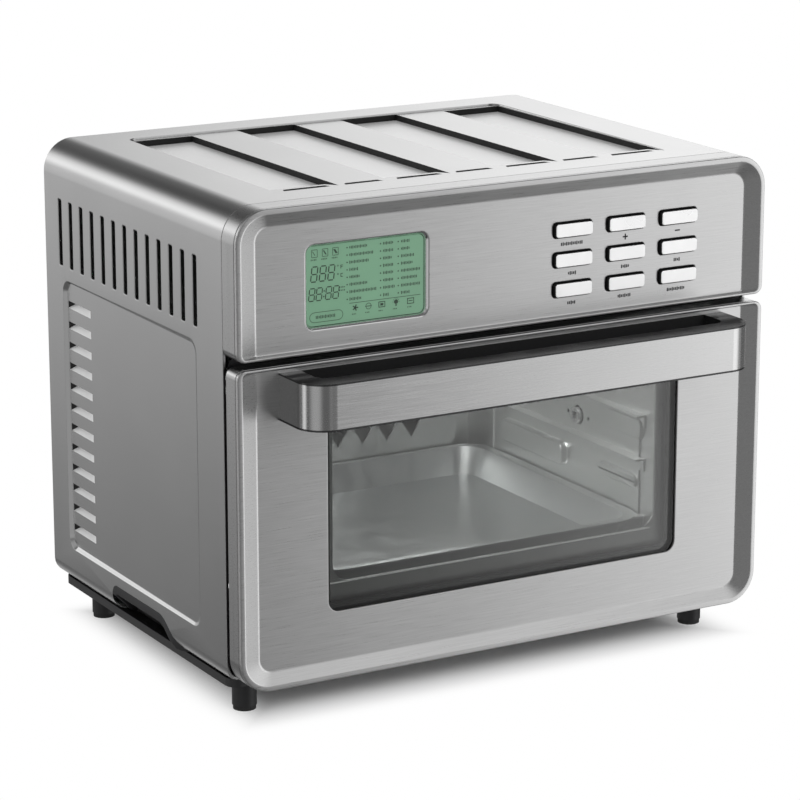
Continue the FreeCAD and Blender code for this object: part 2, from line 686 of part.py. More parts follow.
def make_door_inner_frame():
    """The sheet frame that closes the door's back and holds the inner glass."""
    wall = 2.3
    low = (-(HALF - wall), FRONT + 15.3, D.door_bottom + wall)
    high = (HALF - wall, DOOR_REAR, D.door_top - wall)
    plate = rounded(low, high, "Y", D.top_radius - 3.0, D.gap_radius - wall, "InnerFramePlate")
    low = (-125.0, FRONT + 10, 85.5)
    opening = rounded(low, (125.0, FRONT + 22, 196), "Y", 12, name="InnerFrameOpening")
    # Ledges that carry the two panes, in front of the plate.
    rails = [
        box((-150, FRONT + 8.1, 56), (150, FRONT + 15.3, 61.8), "LowerGlassLedge"),
        box((-150, FRONT + 8.1, 204.2), (150, FRONT + 15.3, 209), "UpperGlassLedge"),
        box((-150, FRONT + 8.1, 61.8), (-140.2, FRONT + 15.3, 204.2), "LeftGlassLedge"),
        box((140.2, FRONT + 8.1, 61.8), (150, FRONT + 15.3, 204.2), "RightGlassLedge"),
    ]
    plate_cut = cut(plate, opening, *hinge_slots("FrameSlot"), name="InnerFrameCut")
    # Cheeks that hold the hinge pins.
    cheeks = []
    for side in (-1, 1):
        for x in HINGE_PLATE_X:
            low = (side * x - 1, FRONT + 8.1, HINGE_Z - 6)
            cheeks.append(box(low, (side * x + 1, FRONT + 15.3, 52), "HingeCheek"))
    whole = joined(plate_cut, *rails, *cheeks, name="InnerFrameWhole")
    bores = []
    for side in (-1, 1):
        bores.append(rod(D.hinge_pin_radius, 40, (side * BRACKET_X - 20, HINGE_Y, HINGE_Z), "X", "PinBore"))
    node(cut(whole, *bores, name="DoorInnerFrame"), "door_inner_frame")


def make_door_gasket():
    """A thin seal around the door's inner opening."""
    low = (-137, DOOR_REAR, 46)
    outer = rounded(low, (137, DOOR_REAR + 3.5, 219), "Y", 12, name="GasketOuter")
    low = (-132, DOOR_REAR - 1, 51)
    inner = rounded(low, (132, DOOR_REAR + 5, 214), "Y", 8, name="GasketInner")
    node(cut(outer, inner, name="DoorGasket"), "door_gasket")


def handle_screw_places():
    """Two screws hold each end of the handle."""
    return [(side * (D.handle_half.value - 8), z) for side in (-1, 1) for z in (211, 225)]


def make_handle():
    """A moulded bar that stands off the door at both ends, faced with a steel strip."""
    half = D.handle_half
    front = FRONT - D.handle_reach
    seat = FRONT + D.dish_depth
    low = (-half, front, D.handle_bottom)
    block = rounded(low, (half, seat + 30, D.handle_top), "Z", D.handle_radius, name="HandleBlock")
    behind = box((-(half + 1), seat, D.handle_bottom - 1), (half + 1, seat + 40, D.handle_top + 1), "HandleBehind")
    inner_half = half - 15
    gap_low = (-inner_half, front + D.handle_bar, D.handle_bottom - 2)
    gap = rounded(gap_low, (inner_half, seat + 20, D.handle_top + 2), "Z", 8, name="FingerGap")
    bar = cut(cut(block, behind, name="HandleFront"), gap, name="HandleBar")
    strap = box((-(inner_half + 2), seat - 1.2, D.handle_bottom), (inner_half + 2, seat, D.handle_top), "HandleStrap")
    whole = joined(bar, strap, name="HandleWhole")

    # The strip lies in a shallow rebate that follows the bar round its corners.
    strip_low = (-(half - 0.15), front + 0.15, D.handle_bottom + 1.2)
    strip_high = (half - 0.15, seat + 30, D.handle_top - 1.2)
    strip_outer = rounded(strip_low, strip_high, "Z", D.handle_radius - 0.15, name="StripOuter")
    depth = 1.0
    core_low = (-(half - depth), front + depth, D.handle_bottom)
    core_high = (half - depth, seat + 28, D.handle_top)
    strip_core = rounded(core_low, core_high, "Z", D.handle_radius - depth, name="StripCore")
    strip_ring = cut(strip_outer, strip_core, name="StripRing")
    strip_behind = box((-(half + 1), seat, 190), (half + 1, seat + 40, 250), "StripBehind")
    strip = cut(strip_ring, strip_behind, name="HandleStrip")
    rebate_low = (-(half + 1), front - 1, D.handle_bottom + 1.2)
    rebate_block = box(rebate_low, (half + 1, seat, D.handle_top - 1.2), "RebateBlock")
    rebate = cut(rebate_block, strip_core, name="Rebate")
    pilot = [rod(2.0, 12, (x, seat - 10, z), "Y", "HandlePilot") for x, z in handle_screw_places()]
    body = cut(cut(whole, rebate, name="HandleRebated"), *pilot, name="HandleBody")
    node(body, "handle_body")
    node(strip, "handle_strip")

    screws = []
    for x, z in handle_screw_places():
        shank = rod(2.0, 11.2, (x, seat - 10, z), "Y", "HandleScrewShank")
        head = rod(4.0, 2.2, (x, FRONT + 4.7, z), "Y", "HandleScrewHead")
        screws.append(joined(shank, head, name="HandleScrew"))
    node(group_of(*screws, name="HandleScrews"), "handle_screws")


def make_hinges():
    """Pins that turn with the door, in arms that are fixed to the oven."""
    pins = []
    for side in (-1, 1):
        pins.append(rod(D.hinge_pin_radius, 18, (side * BRACKET_X - 9, HINGE_Y, HINGE_Z), "X", "HingePin"))
    node(group_of(*pins, name="HingePins"), "hinge_pins")
    for side, label in ((-1, "hinge_bracket_left"), (1, "hinge_bracket_right")):
        x = side * BRACKET_X
        arm = box((x - 1.5, HINGE_Y, HINGE_Z - 4), (x + 1.5, CAVITY_FRONT + 4, HINGE_Z + 4), "HingeArm")
        nose = rod(5.0, 3, (x - 1.5, HINGE_Y, HINGE_Z), "X", "HingeNose")
        foot_low = (x - 5, CAVITY_FRONT + 1, HINGE_Z - 4)
        foot = box(foot_low, (x + 5, CAVITY_FRONT + 4, 62), "HingeFoot")
        bore = rod(D.hinge_pin_radius + 0.06, 10, (x - 5, HINGE_Y, HINGE_Z), "X", "HingeBore")
        node(cut(joined(arm, nose, foot, name="HingeArmWhole"), bore, name="HingeBracket"), label)


# ---------------------------------------------------------------- oven cavity

SOCKET_Y = FRONT + 119
SOCKET_Z = 139.6
FAN_Z = 140.0
LAMP_Y = FRONT + 137
LAMP_Z = 186.0
FAN_VENT_FIRST = -71.75
FAN_VENT_PITCH = 20.5
RAIL_LEVELS = (87.0, 128.0, 159.0)
HEATER_PLACES = {"upper_heaters": ((75, 201.0), (200, 201.0)), "lower_heaters": ((75, 60.0), (200, 60.0))}


def heater_rods(label, radius, start, length):
    """Cylinders along X at one group's heater places."""
    return [
        rod(radius, length, (start, FRONT + depth, z), "X", "HeaterRod") for depth, z in HEATER_PLACES[label]
    ]


def all_heater_rods(radius, start, length):
    return [rod for label in HEATER_PLACES for rod in heater_rods(label, radius, start, length)]


def make_cavity():
    wall = D.sheet
    low = (-(D.cavity_half + wall), CAVITY_FRONT + 1, D.cavity_bottom - wall)
    high = (D.cavity_half + wall, FRONT + D.cavity_rear + wall, D.cavity_top + wall)
    outer = rounded(low, high, "Y", 9, name="CavityOuter")
    low = (-D.cavity_half, CAVITY_FRONT - 1, D.cavity_bottom)
    high = (D.cavity_half, FRONT + D.cavity_rear, D.cavity_top)
    inner = rounded(low, high, "Y", 8, name="CavityInner")
    shell = cut(outer, inner, name="CavityShell")
    holes = [
        rod(7.0, 6, (D.cavity_half - 2, SOCKET_Y, SOCKET_Z), "X", "SocketHole"),
        rod(1.6, 6, (D.cavity_half - 2, SOCKET_Y - 13, SOCKET_Z), "X", "SocketScrewHole"),
        rod(1.6, 6, (D.cavity_half - 2, SOCKET_Y + 13, SOCKET_Z), "X", "SocketScrewHole"),
        rod(20.0, 6, (-(D.cavity_half + 3), LAMP_Y, LAMP_Z), "X", "LampHole"),
        rod(5.0, 6, (0, FRONT + D.cavity_rear - 2, FAN_Z), "Y", "FanShaftHole"),
        rod(2.0, 6, (-110, FRONT + D.cavity_rear - 2, 197), "Y", "ProbeHole"),
    ]
    heater_holes = all_heater_rods(6.0, -(D.cavity_half.value + 8), 12) + all_heater_rods(6.0, D.cavity_half.value - 4, 12)
    node(cut(shell, *holes, *heater_holes, name="OvenCavity"), "oven_cavity")

    low = (-(HALF - 4), CAVITY_FRONT, 45)
    plate = rounded(low, (HALF - 4, CAVITY_FRONT + 1, 243), "Y", 6, name="FlangePlate")
    low = (-D.cavity_half, CAVITY_FRONT - 2, D.cavity_bottom)
    opening = rounded(low, (D.cavity_half, CAVITY_FRONT + 4, D.cavity_top), "Y", 8, name="FlangeOpening")
    node(cut(plate, opening, name="CavityFlange"), "cavity_flange")


def make_rack_rails():
    """Pressed ledges on both walls at three levels."""
    ledges = []
    for level in RAIL_LEVELS:
        wall = D.cavity_half
        low = (-wall, FRONT + 34, level - 1.2)
        ledges.append(box(low, (-(wall - 8), FRONT + 246, level), "RailLedge"))
        web_low = (-wall, FRONT + 34, level - 9)
        ledges.append(box(web_low, (-(wall - 1.2), FRONT + 246, level - 1.2), "RailWeb"))
    posts = [
        box((-D.cavity_half, FRONT + depth, 80), (-(D.cavity_half - 1.2), FRONT + depth + 8, 158), "RailPost")
        for depth in (40, 232)
    ]
    rails = joined(*ledges, *posts, name="RackRails")
    node(rails, "rack_rails_left")
    node(mirrored(rails, "RackRailsRight"), "rack_rails_right")


def make_heaters():
    reach = D.cavity_half.value + 12
    for label in HEATER_PLACES:
        node(group_of(*heater_rods(label, 3.4, -reach, 2 * reach), name="Heaters"), label)
    insulators = []
    for start in (-(D.cavity_half.value + 8), D.cavity_half.value - 4):
        for outer, bore in zip(all_heater_rods(6.0, start, 12), all_heater_rods(3.4, start - 1, 14)):
            insulators.append(cut(outer, bore, name="Insulator"))
    node(group_of(*insulators, name="Insulators"), "heater_insulators")


def make_fan():
    """The convection fan in front of the rear wall, its cover and its motor."""
    rear = FRONT + D.cavity_rear
    low = (-110, rear - 16, 88)
    outer = rounded(low, (110, rear, 192), "Y", 10, name="FanCoverOuter")
    inner = rounded((-109, rear - 15, 89), (109, rear + 1, 191), "Y", 9, name="FanCoverInner")
    cover = cut(outer, inner, name="FanCoverTray")
    openings = []
    for number in range(8):
        x = FAN_VENT_FIRST + FAN_VENT_PITCH * number
        lower = [(x - 8.5, 112), (x + 8.5, 112), (x, 99)]
        upper = [(x - 8.5, 168), (x + 8.5, 168), (x, 181)]
        for name, corners in (("LowerTriangle", lower), ("UpperTriangle", upper)):
            openings.append(polygon_prism(f"{name}{number}", "XZ_Plane", -(rear - 10), 10, corners))
    for number in range(9):
        x = -56.0 + 14.0 * number
        reach = (42 ** 2 - (x / 1.6) ** 2) ** 0.5
        openings.append(box((x - 3, rear - 20, FAN_Z - reach * 0.5), (x + 3, rear - 10, FAN_Z + reach * 0.5), "FanSlot"))
    node(cut(cover, *openings, name="FanCover"), "fan_cover")

    hub = rod(7.0, 9.2, (0, rear - 13, FAN_Z), "Y", "FanHub")
    disc = rod(40.0, 1.2, (0, rear - 5, FAN_Z), "Y", "FanDisc")
    shaft = rod(3.0, 17.8, (0, rear - 6, FAN_Z), "Y", "FanShaft")
    blades = []
    for number in range(6):
        blade = box((6, -4, -0.8), (38, 4.2, 0.8), f"FanBlade{number}")
        turned = group_of(blade, name=f"FanBladeTurned{number}")
        turned.Placement.Rotation = FreeCAD.Rotation(AXES["Y"], 60 * number)
        place(turned, 0, rear - 9, FAN_Z)
        blades.append(turned)
    node(joined(hub, disc, shaft, *blades, name="ConvectionFan"), "convection_fan")

    case = rod(25.0, 14, (0, rear + 5, FAN_Z), "Y", "MotorCase")
    mount = box((-34, rear + 1, FAN_Z - 8), (34, rear + 5, FAN_Z + 8), "MotorMount")
    bore = rod(3.06, 11, (0, rear + 1, FAN_Z), "Y", "MotorBore")
    motor = cut(joined(case, mount, name="MotorWhole"), bore, name="FanMotor")
    node(motor, "fan_motor")


def make_rotisserie():
    """The turning socket for a spit, and its small geared motor behind the wall."""
    wall = D.cavity_half
    body = rod(5.5, 22, (wall - 3, SOCKET_Y, SOCKET_Z), "X", "SocketBody")
    shaft = rod(2.5, 8, (wall + 19, SOCKET_Y, SOCKET_Z), "X", "SocketShaft")
    square = box((wall - 5, SOCKET_Y - 2.6, SOCKET_Z - 2.6), (wall + 12, SOCKET_Y + 2.6, SOCKET_Z + 2.6), "SocketSquare")
    socket = cut(joined(body, shaft, name="SocketWhole"), square, name="RotisserieSocket")
    node(socket, "rotisserie_socket")
    case = rod(22.0, 14, (wall + 20, SOCKET_Y, SOCKET_Z), "X", "RotisserieCase")
    tabs = [
        box((wall + 1, SOCKET_Y + side * 24 - 4, SOCKET_Z - 6), (wall + 24, SOCKET_Y + side * 24 + 4, SOCKET_Z + 6), "MotorTab")
        for side in (-1, 1)
    ]
    bore = rod(2.56, 8, (wall + 20, SOCKET_Y, SOCKET_Z), "X", "RotisserieBore")
    node(cut(joined(case, *tabs, name="RotisserieWhole"), bore, name="RotisserieMotor"), "rotisserie_motor")


def make_lamp_and_probe():
    wall = D.cavity_half
    node(rod(20.0, 3, (-(wall + 2), LAMP_Y, LAMP_Z), "X", "LampCover"), "lamp_cover")
    bulb = rod(9.0, 22, (-(wall + 26), LAMP_Y, LAMP_Z), "X", "LampBulb")
    node(bulb, "oven_lamp")
    holder = rod(15.0, 12, (-(wall + 38), LAMP_Y, LAMP_Z), "X", "LampHolder")
    stays = [
        box((-(wall + 38), LAMP_Y - 24, LAMP_Z - 6), (-(wall + 1), LAMP_Y - 21, LAMP_Z + 6), "LampStayFront"),
        box((-(wall + 38), LAMP_Y + 21, LAMP_Z - 6), (-(wall + 1), LAMP_Y + 24, LAMP_Z + 6), "LampStayRear"),
        box((-(wall + 38), LAMP_Y - 24, LAMP_Z - 6), (-(wall + 35), LAMP_Y + 24, LAMP_Z + 6), "LampBridge"),
    ]
    node(joined(holder, *stays, name="LampHolderWhole"), "lamp_holder")
    probe = rod(2.0, 34, (-110, FRONT + D.cavity_rear - 26, 197), "Y", "Probe")
    collar = rod(4.0, 2, (-110, FRONT + D.cavity_rear + 1, 197), "Y", "ProbeCollar")
    node(joined(probe, collar, name="TemperatureProbe"), "temperature_probe")


def make_trays():
    """The deep baking tray in the lowest rails and the crumb tray under the lower heaters."""
    rim_z = RAIL_LEVELS[0] + 1.6
    outer = tapered("TrayOuter", "XY_Plane", [
        (68.0, -114, 114, FRONT + 39, FRONT + 242, 14, 14),
        (rim_z, -121, 121, FRONT + 31, FRONT + 248, 20, 20),
    ])
    inner = tapered("TrayInner", "XY_Plane", [
        (69.0, -113, 113, FRONT + 40, FRONT + 241, 13, 13),
        (rim_z + 0.01, -120, 120, FRONT + 32, FRONT + 247, 19, 19),
    ])
    rim = rounded((-128, FRONT + 27, rim_z - 1.3), (128, FRONT + 252, rim_z), "Z", 22, name="TrayRim")
    whole = joined(outer, rim, name="TrayWhole")
    node(cut(whole, inner, name="BakingTray"), "baking_tray")

    low = (-121, FRONT + 28, D.cavity_bottom + 0.4)
    outer = rounded(low, (121, FRONT + 262, D.cavity_bottom + 4.4), "Z", 6, name="CrumbOuter")
    low = (-120, FRONT + 29, D.cavity_bottom + 1.2)
    inner = rounded(low, (120, FRONT + 261, D.cavity_bottom + 8), "Z", 5, name="CrumbInner")
    node(cut(outer, inner, name="CrumbTray"), "crumb_tray")


# ---------------------------------------------------------------- electrics

def make_electrics():
    node(box((-60, FRONT + 120, 228), (70, FRONT + 230, 229.6), "PowerBoard"), "power_board")
    posts = [
        rod(3.0, 228 - 213, (x, y, D.cavity_top + 1), "Z", "BoardPost")
        for x in (-54, 64) for y in (FRONT + 126, FRONT + 224)
    ]
    node(group_of(*posts, name="BoardPosts"), "board_posts")
    parts = [
        box((-50, FRONT + 140, 229.6), (-14, FRONT + 176, 254), "Transformer"),
        box((0, FRONT + 136, 229.6), (16, FRONT + 156, 245), "Relay"),
        box((24, FRONT + 136, 229.6), (40, FRONT + 156, 245), "Relay"),
        rod(6.0, 18, (5, FRONT + 200, 229.6), "Z", "Capacitor"),
        rod(6.0, 18, (25, FRONT + 200, 229.6), "Z", "Capacitor"),
    ]
    node(group_of(*parts, name="BoardParts"), "board_parts")

    flange = rod(10.5, 1.0, (150, CASING_REAR, 62), "Y", "GlandFlange")
    barrel = rod(8.0, 12, (150, CASING_REAR - 12, 62), "Y", "GlandBarrel")
    bore = rod(3.8, 20, (150, CASING_REAR - 15, 62), "Y", "GlandBore")
    node(cut(joined(flange, barrel, name="GlandWhole"), bore, name="CordGland"), "cord_gland")


make_outer_wrap()
make_rear_cover()
make_cover_screws()
make_base_plate()
make_feet()
make_hand_hold_liners()
make_fascia()
make_display()
make_buttons()
make_door_shell()
make_door_glass()
make_door_inner_frame()
make_door_gasket()
make_handle()
make_hinges()
make_cavity()
make_rack_rails()
make_heaters()
make_fan()
make_rotisserie()
make_lamp_and_probe()
make_trays()
make_electrics()

doc.recompute()

for obj in doc.Objects:
    if "Invalid" in obj.State or "Error" in obj.State:
        raise RuntimeError(f"{obj.Label} failed: {obj.State}")

os.makedirs("parts", exist_ok=True)
for sub_part in NODES:
    shape = sub_part.Shape
    if shape.isNull() or not shape.isValid():
        raise RuntimeError(f"{sub_part.Label} has no valid shape")
    shape.exportStep(f"parts/{sub_part.Label}.step")
    print(f"{sub_part.Label}: {len(shape.Solids)} solid(s), {shape.Volume / 1000:.1f} cm3")
print(f"{len(NODES)} nodes")
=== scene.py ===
import math

import bmesh
import bpy
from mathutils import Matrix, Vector
from mathutils.geometry import delaunay_2d_cdt


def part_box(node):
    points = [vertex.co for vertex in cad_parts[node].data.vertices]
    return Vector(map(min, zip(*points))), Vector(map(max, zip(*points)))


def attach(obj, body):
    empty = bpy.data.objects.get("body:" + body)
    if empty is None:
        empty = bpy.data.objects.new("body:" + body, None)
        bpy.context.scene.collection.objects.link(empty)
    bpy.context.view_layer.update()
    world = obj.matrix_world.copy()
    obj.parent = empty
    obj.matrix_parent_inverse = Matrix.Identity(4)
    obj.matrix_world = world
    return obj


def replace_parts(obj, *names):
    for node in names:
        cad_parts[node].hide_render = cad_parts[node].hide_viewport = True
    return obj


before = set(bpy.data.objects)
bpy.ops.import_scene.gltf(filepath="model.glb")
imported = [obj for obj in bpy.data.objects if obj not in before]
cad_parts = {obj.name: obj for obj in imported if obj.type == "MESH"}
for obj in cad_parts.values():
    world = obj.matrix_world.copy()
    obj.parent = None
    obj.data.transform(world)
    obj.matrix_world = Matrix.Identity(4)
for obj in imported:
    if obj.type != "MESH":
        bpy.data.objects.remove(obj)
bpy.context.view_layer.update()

# Lengths from the frame are in metres. Profiles and layouts are in mm, and MM turns them into metres.
MM = 0.001
CASING_LOW, CASING_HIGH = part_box("outer_wrap")
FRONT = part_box("fascia_panel")[0].y          # plane of the front rims
HALF = CASING_HIGH.x                         # half the oven's width
TOP = CASING_HIGH.z
FASCIA_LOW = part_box("fascia_panel")[0].z
DOOR_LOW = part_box("door_skin")[0].z
DOOR_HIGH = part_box("door_skin")[1].z


# ------------------------------------------------------------------ material nodes

def new_material(name):
    """An empty material, and a function that adds nodes to it.

    That function takes inputs by socket name, or by socket number as i0, i1 and so on.
    """
    material = bpy.data.materials.new(name)
    material.use_nodes = True
    tree = material.node_tree
    tree.nodes.clear()

    def add(kind, settings=None, **inputs):
        made = tree.nodes.new(kind)
        for key, value in (settings or {}).items():
            setattr(made, key, value)
        for key, value in inputs.items():
            numbered = key[0] == "i" and key[1:].isdigit()
            socket = made.inputs[int(key[1:]) if numbered else key.replace("_", " ")]
            if isinstance(value, bpy.types.NodeSocket):
                tree.links.new(value, socket)
            else:
                socket.default_value = value
        return made

    return material, add


WHITE = (1, 1, 1, 1)


def stretched(add, scale):
    """Object coordinates in metres, scaled along each axis."""
    place = add("ShaderNodeTexCoord").outputs["Object"]
    return add("ShaderNodeMapping", i0=place, i3=scale).outputs[0]


def noise(add, scale, detail=3.0, roughness=0.55):
    place = stretched(add, scale)
    return add("ShaderNodeTexNoise", Vector=place, Scale=1.0, Detail=detail, Roughness=roughness).outputs[0]


def ramp(add, value, low, high, from_low=0.3, from_high=0.7):
    """Spreads the middle of a noise's range from low to high."""
    return add("ShaderNodeMapRange", Value=value, i1=from_low, i2=from_high, i3=low, i4=high).outputs[0]


def grey(add, value):
    return add("ShaderNodeCombineColor", i0=value, i1=value, i2=value).outputs[0]


def mottled(add, colour, cloud, darkest):
    """A colour that a noise darkens a little in places."""
    settings = {"data_type": "RGBA", "blend_type": "MULTIPLY"}
    shade = grey(add, ramp(add, cloud, darkest, 1.0))
    return add("ShaderNodeMix", settings, i0=1.0, i6=(*colour, 1), i7=shade).outputs[2]


def finish_material(add, **inputs):
    shader = add("ShaderNodeBsdfPrincipled", **inputs)
    add("ShaderNodeOutputMaterial", Surface=shader.outputs[0])


ALONG_FRONT = (1, 0, 0)
ALONG_SIDES = (0, 1, 0)
EVERYWHERE = (1, 1, 1)


def brushed_steel(
    name, level, rough, along, streak=0.01, aniso=0.0, bump=0.0, metallic=1.0, uneven=0.01, upright=False,
):
    """Steel with fine straight brush marks. along is the brushing direction; highlights stretch across it.

    With upright, the highlights follow the piece's own upright direction instead, which suits a strip that
    turns a corner.
    """
    material, add = new_material(name)
    fine = noise(add, [45 if axis else 2600 for axis in along], 2.0)
    broad = noise(add, [18 if axis else 1100 for axis in along], 2.0)
    cloud = noise(add, [14 * axis for axis in EVERYWHERE], 2.0)
    mixed = add("ShaderNodeMix", {"data_type": "FLOAT"}, i0=0.35, i2=fine, i3=broad).outputs[0]
    shade = ramp(add, mixed, level - streak, level + streak, 0.35, 0.65)
    cloudy = ramp(add, cloud, 0.98, 1.02)
    shade = add("ShaderNodeMath", {"operation": "MULTIPLY"}, i0=shade, i1=cloudy).outputs[0]
    if upright:
        settings = {"vector_type": "VECTOR", "convert_from": "OBJECT", "convert_to": "WORLD"}
        direction = add("ShaderNodeVectorTransform", settings, i0=(0, 0, 1)).outputs[0]
    else:
        direction = add("ShaderNodeCombineXYZ", i0=along[0], i1=along[1], i2=along[2]).outputs[0]
    marks = add("ShaderNodeBump", Strength=bump, Distance=0.0002, Height=mixed).outputs[0]
    finish_material(
        add, Base_Color=grey(add, shade), Metallic=metallic,
        Roughness=ramp(add, mixed, rough - uneven, rough + uneven, 0.35, 0.65),
        Anisotropic=aniso, Anisotropic_Rotation=0.0 if upright else 0.25, Tangent=direction, Normal=marks,
    )
    return material


def sheet_metal(name, colour, rough, mottle=0.06, scale=60, bump=0.02):
    """Plain plated or enamelled sheet with a faint mottle."""
    material, add = new_material(name)
    cloud = noise(add, [scale * axis for axis in EVERYWHERE], 4.0)
    grain = noise(add, [900 * axis for axis in EVERYWHERE], 2.0)
    tint = mottled(add, colour, cloud, 1 - mottle)
    marks = add("ShaderNodeBump", Strength=bump, Distance=0.0003, Height=grain).outputs[0]
    shine = ramp(add, cloud, rough - 0.06, rough + 0.06)
    finish_material(add, Base_Color=tint, Metallic=1.0, Roughness=shine, Normal=marks)
    return material


def moulded(name, colour, rough, bump=0.05, metallic=0.0):
    """Moulded plastic, paint or rubber: a fine grain in the surface and slight shine variation."""
    material, add = new_material(name)
    grain = noise(add, [1400 * axis for axis in EVERYWHERE], 2.0)
    cloud = noise(add, [35 * axis for axis in EVERYWHERE], 3.0)
    tint = mottled(add, colour, cloud, 0.9)
    marks = add("ShaderNodeBump", Strength=bump, Distance=0.0002, Height=grain).outputs[0]
    shine = ramp(add, cloud, rough - 0.05, rough + 0.05)
    finish_material(add, Base_Color=tint, Roughness=shine, Normal=marks, Metallic=metallic)
    return material


def clear(name, tint, passing, rough=0.02):
    """Thin clear glass or plastic: mostly lets light straight through, with a surface reflection."""
    material, add = new_material(name)
    smudge = noise(add, [30 * axis for axis in EVERYWHERE], 3.0)
    straight = add("ShaderNodeBsdfTransparent", Color=(*[passing * channel for channel in tint], 1))
    shine = add("ShaderNodeBsdfGlossy", Color=WHITE, Roughness=ramp(add, smudge, rough, rough + 0.03))
    edge = add("ShaderNodeFresnel", IOR=1.45).outputs[0]
    both = add("ShaderNodeMixShader", i0=edge, i1=straight.outputs[0], i2=shine.outputs[0])
    add("ShaderNodeOutputMaterial", Surface=both.outputs[0])
    return material


def glowing(name, colour, strength, rough=0.35):
    """A backlit display's green, with the faint uneven glow of its diffuser."""
    material, add = new_material(name)
    cloud = noise(add, [25 * axis for axis in EVERYWHERE], 2.0)
    tint = mottled(add, colour, cloud, 0.93)
    finish_material(add, Base_Color=tint, Roughness=rough, Emission_Color=tint, Emission_Strength=strength)
    return material


STEEL_FRONT = brushed_steel(
    "steel_front", 0.62, 0.30, ALONG_FRONT, streak=0.05, aniso=0.8, bump=0.006, uneven=0.03,
)
STEEL_HANDLE = brushed_steel(
    "steel_handle", 0.60, 0.24, ALONG_FRONT, streak=0.035, aniso=0.75, bump=0.01, uneven=0.05, upright=True,
)
STEEL_RING = brushed_steel("steel_ring", 0.52, 0.28, ALONG_FRONT, aniso=0.3)
STEEL_CASING = brushed_steel("steel_casing", 0.54, 0.26, ALONG_SIDES)
STEEL_LOUVRE = brushed_steel("steel_louvre", 0.60, 0.34, ALONG_SIDES, streak=0.008, metallic=0.6)
FRAME_SHEET = sheet_metal("frame_sheet", (0.40, 0.405, 0.40), 0.38)
# Near-white: paints the highlight on the edge of the door frame's opening.
PAINTED_EDGE_HIGHLIGHT = moulded("painted_edge_highlight", (0.95, 0.95, 0.95), 0.3, metallic=0.2)
# Near-black for real black parts, and also painted shade: it blackens the top pans' walls and the side
# louvres' openings in place of their shadow.
BLACK_AND_PAINTED_SHADE = moulded("black_and_painted_shade", (0.006, 0.006, 0.006), 0.7, bump=0.0)
PLATED_SHEET = sheet_metal("plated_sheet", (0.62, 0.64, 0.64), 0.36)
CAVITY_SHEET = sheet_metal("cavity_sheet", (0.72, 0.725, 0.72), 0.42, mottle=0.05)
TRAY_SHEET = sheet_metal("tray_sheet", (0.60, 0.61, 0.61), 0.38, mottle=0.08)
SCREW_STEEL = sheet_metal("screw_steel", (0.7, 0.7, 0.7), 0.25)
CHROME = sheet_metal("bezel_chrome", (0.8, 0.8, 0.8), 0.12)
BLACK_PAINT = moulded("black_paint", (0.018, 0.018, 0.019), 0.45)
BLACK_PLASTIC = moulded("black_plastic", (0.014, 0.014, 0.015), 0.5, bump=0.12)
BLACK_GLOSS = moulded("black_gloss", (0.05, 0.05, 0.051), 0.17, bump=0.0, metallic=0.7)
RUBBER = moulded("foot_rubber", (0.02, 0.02, 0.02), 0.75, bump=0.2)
SILICONE = moulded("door_silicone", (0.05, 0.05, 0.05), 0.6)
SILVER = moulded("button_silver", (0.90, 0.90, 0.90), 0.32, bump=0.01, metallic=0.25)
CERAMIC = moulded("ceramic", (0.8, 0.78, 0.72), 0.6, bump=0.15)
HEATER = moulded("heater_tube", (0.13, 0.125, 0.12), 0.4, bump=0.1, metallic=0.8)
BOARD = moulded("circuit_board", (0.02, 0.12, 0.05), 0.4)
COMPONENT = moulded("component", (0.02, 0.02, 0.025), 0.45)
PRINT = moulded("printed_mark", (0.012, 0.012, 0.013), 0.5)
SEGMENT = moulded("display_segment", (0.03, 0.05, 0.035), 0.5)
GLASS = clear("oven_glass", (0.90, 0.905, 0.90), passing=0.93)
LENS = clear("display_lens", (0.93, 1.0, 0.95), passing=0.97)
DISPLAY = glowing("display_green", (0.17, 0.285, 0.205), 0.42)

NODE_MATERIALS = {
    "outer_wrap": STEEL_CASING, "rear_cover": PLATED_SHEET, "cover_screws": SCREW_STEEL,
    "base_plate": BLACK_PAINT, "feet": BLACK_PLASTIC, "foot_pads": RUBBER, "foot_screws": SCREW_STEEL,
    "handhold_liner_left": BLACK_PLASTIC, "handhold_liner_right": BLACK_PLASTIC,
    "fascia_panel": STEEL_FRONT, "fascia_collar": STEEL_CASING,
    "display_bezel": CHROME, "display_lens": LENS, "lcd_module": DISPLAY, "tact_switches": COMPONENT,
    "button_carrier": BLACK_PLASTIC, "control_board": BOARD,
    "door_skin": STEEL_FRONT, "door_ring": STEEL_CASING,
    "outer_glass": GLASS, "inner_glass": GLASS, "door_inner_frame": FRAME_SHEET, "door_gasket": SILICONE,
    "handle_body": BLACK_GLOSS, "handle_strip": STEEL_HANDLE, "handle_screws": SCREW_STEEL,
    "hinge_pins": SCREW_STEEL, "hinge_bracket_left": PLATED_SHEET, "hinge_bracket_right": PLATED_SHEET,
    "oven_cavity": CAVITY_SHEET, "cavity_flange": BLACK_PAINT, "rack_rails_left": CAVITY_SHEET,
    "rack_rails_right": CAVITY_SHEET, "upper_heaters": HEATER, "lower_heaters": HEATER,
    "heater_insulators": CERAMIC, "fan_cover": CAVITY_SHEET, "convection_fan": CAVITY_SHEET,
    "fan_motor": PLATED_SHEET, "rotisserie_socket": SCREW_STEEL, "rotisserie_motor": COMPONENT,
    "lamp_cover": GLASS, "oven_lamp": GLASS, "lamp_holder": PLATED_SHEET, "temperature_probe": SCREW_STEEL,
    "baking_tray": TRAY_SHEET, "crumb_tray": PLATED_SHEET, "power_board": BOARD, "board_posts": BLACK_PLASTIC,
    "board_parts": COMPONENT, "cord_gland": BLACK_PLASTIC,
}
for node_name, node_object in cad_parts.items():
    paint = NODE_MATERIALS.get(node_name, SILVER)      # the buttons aren't in the list
    node_object.data.materials.clear()
    node_object.data.materials.append(paint)


# ------------------------------------------------------------------ mesh helpers

